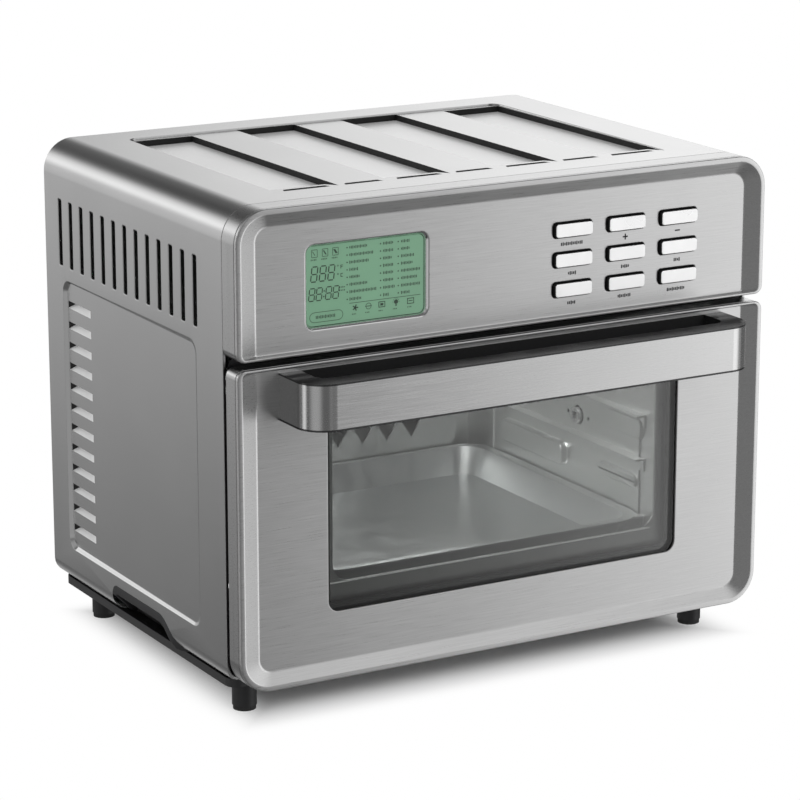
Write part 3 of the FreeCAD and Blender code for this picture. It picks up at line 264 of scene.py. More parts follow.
def outline(left, right, low, high, low_radius, high_radius, steps=14):
    """A rectangle with round corners, as points that run right along the low side first."""
    corners = [
        (right - low_radius, low + low_radius, low_radius, -90),
        (right - high_radius, high - high_radius, high_radius, 0),
        (left + high_radius, high - high_radius, high_radius, 90),
        (left + low_radius, low + low_radius, low_radius, 180),
    ]
    points = []
    for across, up, radius, start in corners:
        for step in range(steps + 1):
            angle = math.radians(start + 90 * step / steps)
            points.append((across + radius * math.cos(angle), up + radius * math.sin(angle)))
    return points


def rounded(box, radius, inset, steps):
    """A box (left, right, low, high) with round corners, moved inwards by inset."""
    left, right, low, high = box
    corner = radius - inset
    return outline(left + inset, right - inset, low + inset, high - inset, corner, corner, steps)


def facing_front(points, depth):
    """Points in a plane parallel to the front, depth behind the front rims."""
    return [(x, FRONT + depth, z) for x, z in points]


def inside(point, loop):
    """Whether a flat point lies inside a loop of flat points."""
    crossings = 0
    for number, start in enumerate(loop):
        stop = loop[(number + 1) % len(loop)]
        if (start.y > point.y) != (stop.y > point.y):
            share = (point.y - start.y) / (stop.y - start.y)
            crossings += point.x < start.x + share * (stop.x - start.x)
    return crossings % 2 == 1


class Shape:
    """Collects rings of points and the faces between them, then becomes an object."""

    def __init__(self):
        self.mesh = bmesh.new()

    def ring(self, points):
        return [self.mesh.verts.new(point) for point in points]

    def bridge(self, first, second):
        """Faces between two closed rings."""
        self.strip(first + first[:1], second + second[:1])

    def strip(self, first, second):
        """Faces between two open lines."""
        for number in range(len(first) - 1):
            self.mesh.faces.new((first[number], first[number + 1], second[number + 1], second[number]))

    def stack_lines(self, lines):
        """Joins open lines of points in turn."""
        made = [self.ring(points) for points in lines]
        for first, second in zip(made, made[1:]):
            self.strip(first, second)

    def stack(self, rings):
        """Joins closed rings of points in turn and gives back the first and the last."""
        made = [self.ring(points) for points in rings]
        for first, second in zip(made, made[1:]):
            self.bridge(first, second)
        return made[0], made[-1]

    def cap(self, ring):
        self.mesh.faces.new(ring)

    def caps(self, ring, faces):
        """Faces given by the numbers of their corners in a ring."""
        for face in faces:
            self.cap([ring[number] for number in face])

    def fill(self, *loops):
        """A flat face inside the first loop, with the others as holes."""
        spread = [max(axis) - min(axis) for axis in zip(*(vert.co for vert in loops[0]))]
        thin = spread.index(min(spread))
        first, second = [axis for axis in range(3) if axis != thin]
        flat_loops = [[Vector((vert.co[first], vert.co[second])) / MM for vert in loop] for loop in loops]
        verts, flat, edges = [], [], []
        for loop, flat_loop in zip(loops, flat_loops):
            start, count = len(verts), len(loop)
            verts += loop
            flat += flat_loop
            edges += [(start + number, start + (number + 1) % count) for number in range(count)]
        points, _, faces, origins, _, _ = delaunay_2d_cdt(flat, edges, [], 1, 1e-5)
        for face in faces:
            middle = sum((points[number] for number in face), Vector((0, 0))) / len(face)
            if not any(inside(middle, hole) for hole in flat_loops[1:]):
                corners = [verts[origins[number][0]] for number in face]
                if self.mesh.faces.get(corners) is None:
                    self.cap(corners)

    def block(self, low, high):
        corners = [(x, y, z) for x in (low[0], high[0]) for y in (low[1], high[1]) for z in (low[2], high[2])]
        sides = ((0, 1, 3, 2), (4, 6, 7, 5), (0, 4, 5, 1), (2, 3, 7, 6), (0, 2, 6, 4), (1, 5, 7, 3))
        self.caps(self.ring(corners), sides)

    def piece(self, name, paint, body, slot, sharp=30, bevel=0.0):
        """The finished object. Edges sharper than sharp, in degrees, stay crisp."""
        bmesh.ops.remove_doubles(self.mesh, verts=self.mesh.verts, dist=1e-7)
        bmesh.ops.recalc_face_normals(self.mesh, faces=self.mesh.faces)
        data = bpy.data.meshes.new(name)
        self.mesh.to_mesh(data)
        self.mesh.free()
        for face in data.polygons:
            face.use_smooth = True
        data.set_sharp_from_angle(angle=math.radians(sharp))
        made = bpy.data.objects.new(name, data)
        bpy.context.scene.collection.objects.link(made)
        data.materials.append(paint)
        if bevel:
            edge = made.modifiers.new("edges", "BEVEL")
            edge.width = bevel
            edge.segments = 2
            edge.limit_method = "ANGLE"
            edge.angle_limit = math.radians(sharp)
        weights = made.modifiers.new("normals", "WEIGHTED_NORMAL")
        weights.keep_sharp = True
        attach(made, body)
        return made


# ------------------------------------------------------------------ pressed fronts

RIM_R = 21.7 * MM           # outer corners of the fronts
GAP_R = 6.0 * MM            # corners beside the gap between the fronts
FLAT = 3.5 * MM             # how far the flats lie behind the rims
# Inset from the sides, from the far end and from the gap side, and depth behind the rim's plane, in mm.
FRONT_PROFILE = [
    (0.9, 0.9, 0.9, 4.6), (0.9, 0.9, 0.9, 2.9), (0.25, 0.25, 0.25, 2.7), (0.0, 0.0, 0.0, 2.3),
    (0.0, 0.0, 0.0, 0.9), (0.12, 0.12, 0.12, 0.45), (0.4, 0.4, 0.4, 0.14), (0.9, 0.9, 0.8, 0.0),
    (3.0, 3.0, 1.3, 0.0), (3.5, 3.45, 1.5, 0.06), (4.0, 3.9, 1.7, 0.22),
    (13.6, 10.9, 2.3, 3.14), (14.2, 11.45, 2.6, 3.36), (14.9, 12.1, 2.9, 3.5), (15.5, 12.7, 3.2, 3.5),
]
EDGE_ROLL = 0.34            # radius of a pressed hole's rolled edge, in mm
EDGE_PROFILE = [(-0.3, 0.0), (0.0, 0.0), (0.16, 0.05), (0.3, 0.18), (EDGE_ROLL, 0.4)]


def panel_rings(low, high, gap_is_low):
    """The rings of one pressed front, from its hidden rear edge to the flat's border."""
    rings = []
    for side, end, gap, depth in FRONT_PROFILE:
        side, end, gap = side * MM, end * MM, gap * MM
        rim_radius = max(RIM_R - 0.92 * (side + end) / 2, 8 * MM)
        gap_radius = max(GAP_R - (side + gap) / 2, 1.2 * MM)
        if gap_is_low:
            points = outline(-HALF + side, HALF - side, low + gap, high - end, gap_radius, rim_radius)
        else:
            points = outline(-HALF + side, HALF - side, low + end, high - gap, rim_radius, gap_radius)
        rings.append(facing_front(points, depth * MM))
    return rings


def hole_edge(shape, box, radius, deep):
    """The rolled edge of a hole in a flat. Gives back its outer ring, for the flat's fill."""
    rings = []
    for inset, behind in EDGE_PROFILE + [(EDGE_ROLL, deep)]:
        points = rounded(box, radius, (inset - EDGE_ROLL) * MM, 8)
        rings.append(facing_front(points, FLAT + behind * MM))
    return shape.stack(rings)[0]


def button_places():
    """Each button's node and the middle of its front."""
    for node_name in sorted(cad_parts):
        if node_name.startswith("button_") and node_name != "button_carrier":
            middle = sum(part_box(node_name), Vector()) / 2
            yield node_name, middle.x, middle.z


def button_box(x, z, inset=0.0):
    """A button's outline as a box (left, right, low, high), moved inwards by inset."""
    wide = BUTTON_WIDE / 2 - inset
    tall = BUTTON_TALL / 2 - inset
    return x - wide, x + wide, z - tall, z + tall


BUTTON_WIDE = 28.4 * MM
BUTTON_TALL = 8.9 * MM
BUTTON_GAP = 0.9 * MM
DISPLAY_R = 6.5 * MM
SCREEN_LOW, SCREEN_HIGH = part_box("lcd_module")
DISPLAY_BOX = (SCREEN_LOW.x + 3 * MM, SCREEN_HIGH.x - 3 * MM, SCREEN_LOW.z + 3 * MM, SCREEN_HIGH.z - 3 * MM)
WINDOW_BOX = (-134.5 * MM, 134.5 * MM, 69.6 * MM, 198.0 * MM)
WINDOW_R = 8 * MM

fascia = Shape()
loops = [fascia.stack(panel_rings(FASCIA_LOW, TOP, True))[1]]
loops.append(hole_edge(fascia, DISPLAY_BOX, DISPLAY_R, 1.2))
for _, x, z in button_places():
    loops.append(hole_edge(fascia, button_box(x, z, -BUTTON_GAP), 2.4 * MM, 3.0))
fascia.fill(*loops)
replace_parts(fascia.piece("fascia_face", STEEL_FRONT, "housing", "brushed_panel"), "fascia_panel")

door = Shape()
door_flat = door.stack(panel_rings(DOOR_LOW, DOOR_HIGH, False))[1]
door.fill(door_flat, hole_edge(door, WINDOW_BOX, WINDOW_R, 1.2))
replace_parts(door.piece("door_face", STEEL_FRONT, "door", "brushed_panel"), "door_skin")


# Slots at the door's lower edge let the fixed hinge arms pass when the door opens.
HINGE_SLOT = (159.5 * MM, 174.5 * MM)
SLOT_DEPTH = 6.8 * MM
SLOT_STEP = 0.05 * MM


def facing_front_slotted(points, depth):
    """The same as facing_front, but shallower in the two hinge slots in the lowest straight run."""
    lowest = min(z for _, z in points) + SLOT_STEP
    inner, outer = HINGE_SLOT
    edges = [inner, inner + SLOT_STEP, outer - SLOT_STEP, outer]
    stops = [-edge for edge in reversed(edges)] + edges
    ring = []
    for number, (x, z) in enumerate(points):
        ring.append((x, FRONT + depth, z))
        next_x, next_z = points[(number + 1) % len(points)]
        if z < lowest and next_z < lowest and abs(next_x - x) > outer:
            for stop in stops if next_x > x else reversed(stops):
                slotted = inner < abs(stop) < outer
                ring.append((stop, FRONT + (min(depth, SLOT_DEPTH) if slotted else depth), z))
    return ring


def collar(name, ends, radii, depths, body, node_name, place=facing_front):
    """The ring behind a pressed front, with softly rolled edges. Depths are in mm."""
    near, far = depths
    profile = [(1.6, near), (0.5, near + 0.1), (0.15, near + 0.3), (0.0, near + 0.8)]
    profile += [(0.0, far - 0.8), (0.15, far - 0.3), (0.5, far - 0.05), (2.0, far), (2.0, near)]
    rings = []
    for inset, depth in profile:
        inset *= MM
        low, high = ends[0] + inset, ends[1] - inset
        points = outline(-HALF + inset, HALF - inset, low, high, radii[0] - inset, radii[1] - inset)
        rings.append(place(points, depth * MM))
    shape = Shape()
    shape.stack(rings)
    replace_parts(shape.piece(name, STEEL_RING, body, "brushed_panel"), node_name)


collar("fascia_ring", (FASCIA_LOW, TOP), (GAP_R, RIM_R), (3.2, 19.9), "housing", "fascia_collar")
collar(
    "door_side_ring", (DOOR_LOW, DOOR_HIGH), (RIM_R - 0.7 * MM, GAP_R), (3.2, 16.4), "door", "door_ring",
    facing_front_slotted,
)


# ------------------------------------------------------------------ casing

# The casing is drawn in mm: across, distance behind the front rims, height, and depth into the sheet.
NEAR = (CASING_LOW.y - FRONT) / MM
FAR = (CASING_HIGH.y - FRONT) / MM
SKIRT = round(CASING_LOW.z / MM, 3)
HALF_MM = HALF / MM
TOP_MM = TOP / MM
TOP_R = 21.7
SKIRT_R = 12.0
FLANGE = 14.0               # width of the flange under each side, with its bend
EDGE = 0.4                  # radius of the sheet's rolled ends
SWING_RELIEF = 5.0          # the lowest front edge stands back, to clear the door as it opens
SWING_RELIEF_TALL = 3.3
NOTCH_FRONT, NOTCH_SLOPE_END, NOTCH_REAR = 82.0, 121.0, 193.5
NOTCH_TOP = 46.8
NOTCH_R = 7.5
NOTCH_STEPS = 12


def side_place(side):
    """Places points on one side wall."""
    return lambda along, up, depth=0.0: (side * (HALF_MM - depth) * MM, FRONT + along * MM, up * MM)


def top_place(across, along, depth=0.0):
    return (across * MM, FRONT + along * MM, (TOP_MM - depth) * MM)


def sunk_field(shape, place, box, radius, profile, depth_at, steps):
    """The pressed edge of a sunk field. The profile's steps are an inset and a share of the field's depth."""
    rings = []
    for inset, share in profile:
        points = rounded(box, radius, inset, steps)
        rings.append([place(a, b, share * depth_at(a, b)) for a, b in points])
    return shape.stack(rings)


def notch_front(up):
    """Where the hand-hold's front end, an S-curve, lies at a height."""
    share = math.acos(1 - 2 * (up - SKIRT) / (NOTCH_TOP - SKIRT)) / math.pi
    return NOTCH_FRONT + (NOTCH_SLOPE_END - NOTCH_FRONT) * share


def swing_relief(up):
    """How far the casing's front edge stands back at a height."""
    return SWING_RELIEF if up < SKIRT + SWING_RELIEF_TALL else 0.0


def notch_line(start):
    """The hand-hold's edge above a height, from its front end to its rear end."""
    points = []
    for step in range(NOTCH_STEPS + 1):
        up = start + (NOTCH_TOP - start) * (1 - math.cos(math.pi * step / NOTCH_STEPS)) / 2
        points.append((notch_front(min(up, NOTCH_TOP)), up))
    for step in range(7):
        angle = math.pi / 2 * (1 - step / 6)
        along = NOTCH_REAR - NOTCH_R + NOTCH_R * math.cos(angle)
        points.append((along, NOTCH_TOP - NOTCH_R + NOTCH_R * math.sin(angle)))
    points.append((NOTCH_REAR, start))
    return points


def bend(radius, steps, upper):
    """(depth, height) along a round edge, from the wall outwards."""
    points = []
    for step in range(steps + 1):
        angle = math.pi / 2 * step / steps
        rise = radius * (1 - math.sin(angle))
        points.append((radius * (1 - math.cos(angle)), TOP_MM - rise if upper else SKIRT + rise))
    return points


UPPER_BEND = bend(TOP_R, 12, True)
LOWER_BEND = bend(SKIRT_R, 6, False)


def arch(inset):
    """(across, height) along the casing's section, moved inwards by inset."""
    half = [(HALF_MM - FLANGE, SKIRT + inset)]
    for depth, height in reversed(LOWER_BEND):
        lean = (SKIRT_R - depth) / SKIRT_R
        rise = (SKIRT + SKIRT_R - height) / SKIRT_R
        half.append((HALF_MM - depth - inset * lean, height + inset * rise))
    for depth, height in UPPER_BEND:
        lean = (TOP_R - depth) / TOP_R
        rise = (height - TOP_MM + TOP_R) / TOP_R
        half.append((HALF_MM - depth - inset * lean, height - inset * rise))
    return [(-across, height) for across, height in half] + half[::-1]


def end_lines(face, inward):
    """The rolled edge around the casing's open front or rear."""
    lines = []
    for inset, back in ((0.0, EDGE), (0.12, 0.12), (EDGE, 0.0), (1.8, 0.0), (1.8, 6.0)):
        line = []
        for across, up in arch(inset):
            along = face + inward * back + (swing_relief(up) if face == NEAR else 0.0)
            line.append((across * MM, FRONT + along * MM, up * MM))
        lines.append(line)
    return lines


PANEL_BOX = (57.0, 264.0, 53.5, 247.0)
PANEL_R = 10
PANEL_EDGE = ((0.0, 0.0), (0.3, 0.05), (0.8, 0.3), (1.9, 0.85), (2.3, 1.0), (3.0, 1.0))
SLOT_COUNT, SLOT_FIRST, SLOT_PITCH = 13, 58.3, 17.27
SLOT_HALF, SLOT_LOW, SLOT_HIGH, SLOT_R = 3.8, 255.2, 303.2, 2.3
SLOT_PROFILE = [(0.0, 0.0), (0.5, 0.0), (0.8, 0.1), (0.98, 0.35), (1.0, 0.8), (1.0, 3.6)]
LOUVRE_COUNT, LOUVRE_FIRST, LOUVRE_PITCH = 12, 231.9, 14.56
LOUVRE_LONG, LOUVRE_TALL, LOUVRE_DEEP = 37.0, 5.2, 4.0
LOUVRE_REAR = 260.3


def panel_depth(along, up):
    """The pressed side panel is nearly flush at its front and deepest at its rear."""
    return 0.5 + 2.0 * (along - PANEL_BOX[0]) / (PANEL_BOX[1] - PANEL_BOX[0])


def side_slots(shape, place):
    """The row of tall slots. Gives back their outer rings."""
    loops = []
    for number in range(SLOT_COUNT):
        middle = SLOT_FIRST + SLOT_PITCH * number
        box = (middle - SLOT_HALF, middle + SLOT_HALF, SLOT_LOW, SLOT_HIGH)
        rings = []
        for inset, depth in SLOT_PROFILE:
            rings.append([place(a, b, depth) for a, b in rounded(box, SLOT_R, inset, 6)])
        loops.append(shape.stack(rings)[0])
    return loops


def side_panel_floor(shape, place, border, blades):
    """The pressed panel's floor, with the louvres' openings, and the corners of the louvres in them."""
    loops = [border]
    near, far = LOUVRE_REAR - LOUVRE_LONG, LOUVRE_REAR
    for number in range(LOUVRE_COUNT):
        level = LOUVRE_FIRST - LOUVRE_PITCH * number
        corners = [(near, level - LOUVRE_TALL), (far, level - LOUVRE_TALL), (far, level), (near, level)]
        loop = shape.ring([place(a, b, panel_depth(a, b)) for a, b in corners])
        loops.append(loop)
        deepest = place(far - 7.5, level - 0.3, panel_depth(far, level) + LOUVRE_DEEP)
        blades.append([vert.co.copy() for vert in loop] + [Vector(deepest)])
    shape.fill(*loops)


def side_wall(shape, blades, side):
    place = side_place(side)
    first, last = NEAR + EDGE, FAR - EDGE
    low, high = SKIRT + SKIRT_R, TOP_MM - TOP_R
    border = [(first, low)] + notch_line(low) + [(last, low), (last, high), (first, high)]
    loops = [shape.ring([place(*point) for point in border])]
    loops += side_slots(shape, place)
    panel, floor = sunk_field(shape, place, PANEL_BOX, PANEL_R, PANEL_EDGE, panel_depth, 10)
    shape.fill(*loops, panel)
    side_panel_floor(shape, place, floor, blades)

    # The lower bend lies on both sides of the hand-hold, the upper one runs from end to end.
    in_front, behind = [], []
    for depth, up in LOWER_BEND + [(FLANGE, SKIRT)]:
        in_front.append([place(first + swing_relief(up), up, depth), place(notch_front(up), up, depth)])
        behind.append([place(NOTCH_REAR, up, depth), place(last, up, depth)])
    shape.stack_lines(in_front)
    shape.stack_lines(behind)
    shape.stack_lines([[place(first, up, depth), place(last, up, depth)] for depth, up in UPPER_BEND])


RECESS = (-149.0, 149.0, 42.0, 265.0)
RECESS_R = 7
RECESS_EDGE = ((0.0, 0.0), (0.15, 0.25), (0.25, 0.6), (0.3, 1.0))
PAN_COUNT, PAN_FIRST, PAN_PITCH = 4, -101.5, 83.0
PAN_LONG, PAN_DROP = 46.0, 4.2
DASH_COUNT, DASH_FIRST = 7, -124.5
DASH_NEAR, DASH_FAR, DASH_DEEP = 5.2, 10.0, 3.0


def recess_depth(across, along):
    """The recess in the top deepens a little towards the rear."""
    return 0.25 + 1.0 * (along - RECESS[2]) / (RECESS[3] - RECESS[2])


def recess_place(points, extra=0.0):
    """Points on the recess's floor, or below it."""
    return [top_place(across, along, recess_depth(across, along) + extra) for across, along in points]


def pan_corners(number):
    """The border of one sloping pan and the corners of its sunk floor."""
    right = PAN_FIRST + PAN_PITCH * number
    left = right - PAN_LONG
    at_end = number in (0, PAN_COUNT - 1)
    near, far = RECESS[2] + 13.0, RECESS[3] - (6.0 if at_end else 0.6)
    upper = [(left, near), (right - 6.5, near), (right, near - 7.5), (right, far), (left, far)]
    slope = left + 10
    lower = [(slope, near + 14), (right - 5, near + 14), (right, near - 3), (right, far), (slope, far)]
    return upper, lower


def dash_corners(number):
    """The border of one narrow slot in front of the pans."""
    middle = DASH_FIRST + PAN_PITCH / 2 * number
    half = 17.0 - 3 * (number % 2)
    near, far = RECESS[2] + DASH_NEAR, RECESS[2] + DASH_FAR
    return [(middle - half, near), (middle + half, near), (middle + half - 2, far), (middle - half + 2, far)]


def top_wall(shape):
    first, last = NEAR + EDGE, FAR - EDGE
    reach = HALF_MM - TOP_R
    corners = [(-reach, first), (reach, first), (reach, last), (-reach, last)]
    border = shape.ring([top_place(*corner) for corner in corners])
    recess, floor = sunk_field(shape, top_place, RECESS, RECESS_R, RECESS_EDGE, recess_depth, 8)
    shape.fill(border, recess)
    loops = [floor]
    for number in range(PAN_COUNT):
        loops.append(shape.ring(recess_place(pan_corners(number)[0])))
    for number in range(DASH_COUNT):
        corners = dash_corners(number)
        loops.append(shape.stack([recess_place(corners), recess_place(corners, DASH_DEEP)])[0])
    shape.fill(*loops)


casing = Shape()
blades = []
for side in (-1, 1):
    side_wall(casing, blades, side)
top_wall(casing)
casing.stack_lines(end_lines(NEAR, 1))
casing.stack_lines(end_lines(FAR, -1))
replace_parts(casing.piece("casing_skin", STEEL_CASING, "housing", "casing_steel", sharp=28), "outer_wrap")

# The pans' right and rear walls are painted near-black: painted shade standing in for the shadow inside each
# pan.
pan_walls_painted_shade = Shape()
pan_floors = Shape()
for number in range(PAN_COUNT):
    upper, lower = pan_corners(number)
    corners = recess_place(upper) + recess_place(lower, PAN_DROP)
    pan_floors.caps(pan_floors.ring(corners), ((5, 6, 7, 8, 9), (0, 1, 6, 5), (1, 2, 7, 6), (4, 0, 5, 9)))
    pan_walls_painted_shade.caps(pan_walls_painted_shade.ring(corners), ((2, 3, 8, 7), (3, 4, 9, 8)))
pan_floors.piece("top_louvres", STEEL_LOUVRE, "housing", "casing_steel", sharp=12)
pan_walls_painted_shade.piece("top_louvre_walls_painted_shade", BLACK_AND_PAINTED_SHADE, "housing", "black_paint", sharp=12)

# Black triangles fill each louvre's open end and the gap above its blade: painted shade standing in for the
# dark opening.
side_blades = Shape()
blade_gaps_painted_shade = Shape()
for front_low, rear_low, rear_high, front_high, deep in blades:
    side_blades.cap(side_blades.ring([front_low, rear_low, deep, front_high]))
    blade_gaps_painted_shade.caps(blade_gaps_painted_shade.ring([rear_low, rear_high, front_high, deep]), ((0, 1, 3), (1, 2, 3)))
side_blades.piece("side_louvres", STEEL_LOUVRE, "housing", "casing_steel", sharp=60)
blade_gaps_painted_shade.piece("side_louvre_gaps_painted_shade", BLACK_AND_PAINTED_SHADE, "housing", "black_paint", sharp=12)


# The hand-hold's lip and pocket: distance into the notch, and depth behind the casing's face.
LIP_PROFILE = ((0.0, 1.0), (0.0, 0.2), (0.4, 0.0), (5.6, 0.0), (6.3, 0.3), (6.6, 1.0), (7.0, 15.0))
POCKET_DEPTH = 15.0


def bend_depth(up):
    """How deep the casing's lower bend lies behind its side at a height."""
    lean = max(0.0, (SKIRT + SKIRT_R - up) / SKIRT_R)
    return SKIRT_R * (1 - math.sqrt(max(0.0, 1 - lean ** 2)))


def hand_hold(side, name, node_name):
    """The moulded pocket in a hand-hold: a lip around the notch and a recess behind it."""
    place = side_place(side)
    line = notch_line(SKIRT)
    lines = []
    for shift, depth in LIP_PROFILE:
        points = []
        for number, (along, up) in enumerate(line):
            before, after = line[max(number - 1, 0)], line[min(number + 1, len(line) - 1)]
            run, rise = after[0] - before[0], after[1] - before[1]
            length = math.hypot(run, rise)
            curl = bend_depth(up) if depth < POCKET_DEPTH else 0.0
            level = max(up - shift * run / length, SKIRT)
            points.append(place(along + shift * rise / length, level, depth + curl))
        lines.append(points)
    shape = Shape()
    shape.stack_lines(lines)
    corners = ((NOTCH_FRONT, SKIRT), (NOTCH_REAR, SKIRT), (NOTCH_REAR, NOTCH_TOP), (NOTCH_FRONT, NOTCH_TOP))
    shape.cap(shape.ring([place(along, up, POCKET_DEPTH) for along, up in corners]))
    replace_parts(shape.piece(name, BLACK_PLASTIC, "housing", "black_plastic", sharp=50), node_name)


hand_hold(-1, "hand_hold_left", "handhold_liner_left")
hand_hold(1, "hand_hold_right", "handhold_liner_right")


# ------------------------------------------------------------------ window and cavity details

SPACER_PROFILE = [(-1.5, 4.75), (-1.5, 7.95), (3.3, 7.98), (3.5, 8.1), (3.6, 12.1)]
spacer = Shape()
spacer.stack([
    facing_front(rounded(WINDOW_BOX, WINDOW_R, inset * MM, 8), depth * MM) for inset, depth in SPACER_PROFILE
])
spacer.piece("glass_spacer", BLACK_AND_PAINTED_SHADE, "door", "silicone")

# A near-white bar along the bottom of the inner frame's opening: a painted highlight standing in for the
# light caught by the frame's edge.
lip = Shape()
lip.block((-133.5 * MM, FRONT + 14.4 * MM, 84.6 * MM), (121.5 * MM, FRONT + 15.3 * MM, 85.7 * MM))
lip.piece("opening_lip_highlight", PAINTED_EDGE_HIGHLIGHT, "door", "galvanised_sheet", bevel=0.2 * MM)

CAVITY_WALL = 130.0         # the cavity's right wall, in mm from the middle


def wall_boss(shape, box, reach):
    """A long pressed boss on the cavity's right wall, in mm."""
    rings = []
    for inset, lift in ((0.0, 0.0), (0.6, 0.5), (1.0, reach - 0.8), (1.8, reach), (3.0, reach)):
        points = rounded(box, 6, inset, 6)
        rings.append([((CAVITY_WALL - lift) * MM, FRONT + along * MM, up * MM) for along, up in points])
    shape.cap(shape.stack(rings)[1])


bosses = Shape()
wall_boss(bosses, (132, 217, 98, 116), 4.5)
wall_boss(bosses, (40, 90, 104, 115), 3.0)
wall_boss(bosses, (35, 80, 140, 156), 3.0)
bosses.piece("wall_bosses", CAVITY_SHEET, "housing", "galvanised_sheet", sharp=40)


# ------------------------------------------------------------------ buttons

STEM_PROFILE = [(-1.6, 7.0), (-1.6, 5.6), (0.0, 5.5), (0.0, 0.95), (0.2, 0.8)]
CAP_PROFILE = [(0.15, 0.85), (0.15, 0.62), (0.22, 0.5), (0.4, 0.42), (0.9, 0.40)]
WELL_PROFILE = [(-0.62, 3.9), (-0.62, 4.9), (-0.05, 4.9)]


def button_part(profile, x, z):
    """A rounded pad behind a button's outline: each step is an inset and a depth behind the rims, in mm."""
    rings = []
    for inset, depth in profile:
        radius = max(1.9 - inset * 0.6, 0.6) * MM
        points = outline(*button_box(x, z, inset * MM), radius, radius, steps=6)
        rings.append(facing_front(points, depth * MM))
    shape = Shape()
    for end in shape.stack(rings):
        shape.cap(end)
    return shape


wells = Shape()
for node_name, x, z in button_places():
    stem = button_part(STEM_PROFILE, x, z)
    stem = stem.piece(node_name + "_stem", BLACK_GLOSS, node_name, "black_plastic", sharp=40)
    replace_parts(stem, node_name)
    face = button_part(CAP_PROFILE, x, z)
    face.piece(node_name + "_cap", SILVER, node_name, "button_silver", sharp=40)
    rings = []
    for inset, depth in WELL_PROFILE:
        points = outline(*button_box(x, z, inset * MM), 2 * MM, 2 * MM, steps=6)
        rings.append(facing_front(points, depth * MM))
    wells.stack(rings)
wells.piece("button_wells", BLACK_AND_PAINTED_SHADE, "housing", "black_plastic", sharp=40)


# ------------------------------------------------------------------ flat marks

# Marks are lists of polygons. A polygon is a list of (x, z) in mm.


def flat_marks(name, polygons, depth, thickness, paint, slot, shift=(0.0, 0.0)):
    """Thin printed marks on a plane parallel to the front."""
    shape = Shape()
    for polygon in polygons:
        points = [((x + shift[0]) * MM, (z + shift[1]) * MM) for x, z in polygon]
        front = facing_front(points, (depth - thickness) * MM)
        shape.cap(shape.stack([front, facing_front(points, depth * MM)])[0])
    return shape.piece(name, paint, "housing", slot, sharp=20)


def around(x, z, radius, angle):
    """The point at a distance and an angle from x, z."""
    return x + radius * math.cos(angle), z + radius * math.sin(angle)


def bar(x, z, wide, tall):
    left, right, low, high = x - wide / 2, x + wide / 2, z - tall / 2, z + tall / 2
    return [(left, low), (right, low), (right, high), (left, high)]


def disc(x, z, radius, count=16):
    return [around(x, z, radius, 2 * math.pi / count * number) for number in range(count)]


def hoop(x, z, radius, line, count=24):
    """A circle drawn as short straight strokes."""
    inner, outer = disc(x, z, radius - line, count), disc(x, z, radius, count)
    strokes = []
    for number in range(count):
        after = (number + 1) % count
        strokes.append([inner[number], outer[number], outer[after], inner[after]])
    return strokes


def stroke(start, stop, line):
    """A straight stroke between two points."""
    run, rise = stop[0] - start[0], stop[1] - start[1]
    half = line / 2 / math.hypot(run, rise)
    side_x, side_z = -rise * half, run * half
    return [
        (start[0] - side_x, start[1] - side_z), (stop[0] - side_x, stop[1] - side_z),
        (stop[0] + side_x, stop[1] + side_z), (start[0] + side_x, start[1] + side_z),
    ]


# ------------------------------------------------------------------ display

LCD_DEPTH = 6.4
BEZEL_PROFILE = [
    (-1.3, 8.4), (-1.3, 4.75), (-0.35, 4.75), (-0.35, 3.6), (0.0, 3.35), (0.35, 3.42),
    (0.8, 3.8), (1.5, 4.6), (1.95, 5.3), (2.05, 6.5),
]


def display_ring(inset, depth):
    return facing_front(rounded(DISPLAY_BOX, DISPLAY_R, inset * MM, 10), depth * MM)


bezel = Shape()
bezel.stack([display_ring(*step) for step in BEZEL_PROFILE])
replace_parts(bezel.piece("display_surround", CHROME, "housing", "gloss_black_plastic"), "display_bezel")
# A thin black ring at the screen's edge: partly the screen's own black mask, partly painted shade for the
# recess's shadow on the screen.
mask_and_shade = Shape()
mask_and_shade.stack([display_ring(inset, LCD_DEPTH - 0.05) for inset in (1.9, 2.35)])
mask_and_shade.piece("display_mask_and_painted_shade", BLACK_AND_PAINTED_SHADE, "housing", "black_plastic")
screen = Shape()
for end in screen.stack([display_ring(0.8, 12.0), display_ring(0.8, LCD_DEPTH)]):
    screen.cap(end)
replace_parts(screen.piece("display_screen", DISPLAY, "housing", "display_green"), "lcd_module")
lens = Shape()
lens.cap(lens.ring(display_ring(1.9, 5.4)))
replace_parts(lens.piece("display_window", LENS, "housing", "display_plastic"), "display_lens")

# The seven strokes of an eight in a unit square, each from x, z to x, z.
DIGIT_STROKES = (
    (0, 1, 1, 1), (0, 0.5, 1, 0.5), (0, 0, 1, 0),
    (0, 0.5, 0, 1), (1, 0.5, 1, 1), (0, 0, 0, 0.5), (1, 0, 1, 0.5),
)


def digit(x, z, wide, tall, line, slant=0.12):
    """A seven-segment eight: its lower left corner is at x, z."""
    strokes = []
    for x0, z0, x1, z1 in DIGIT_STROKES:
        gap_x = 0.10 * wide if z0 == z1 else 0.0
        gap_z = 0.06 * tall if x0 == x1 else 0.0
        ends = ((x0 * wide + gap_x, z0 * tall + gap_z), (x1 * wide - gap_x, z1 * tall - gap_z))
        start, stop = [(x + along + slant * up, z + up) for along, up in ends]
        strokes.append(stroke(start, stop, line))
    return strokes


def word(x, z, length, tall=2.1, wide=0.6, gap=0.5):
    """A row of short upright dashes of uneven height that stands in for a word."""
    dashes = []
    for number in range(max(1, round(length / (wide + gap)))):
        share = 0.82 + 0.18 * math.sin(2.3 * number + x + z)
        dashes.append(bar(x + (wide + gap) * number + wide / 2, z, wide, tall * share))
    return dashes


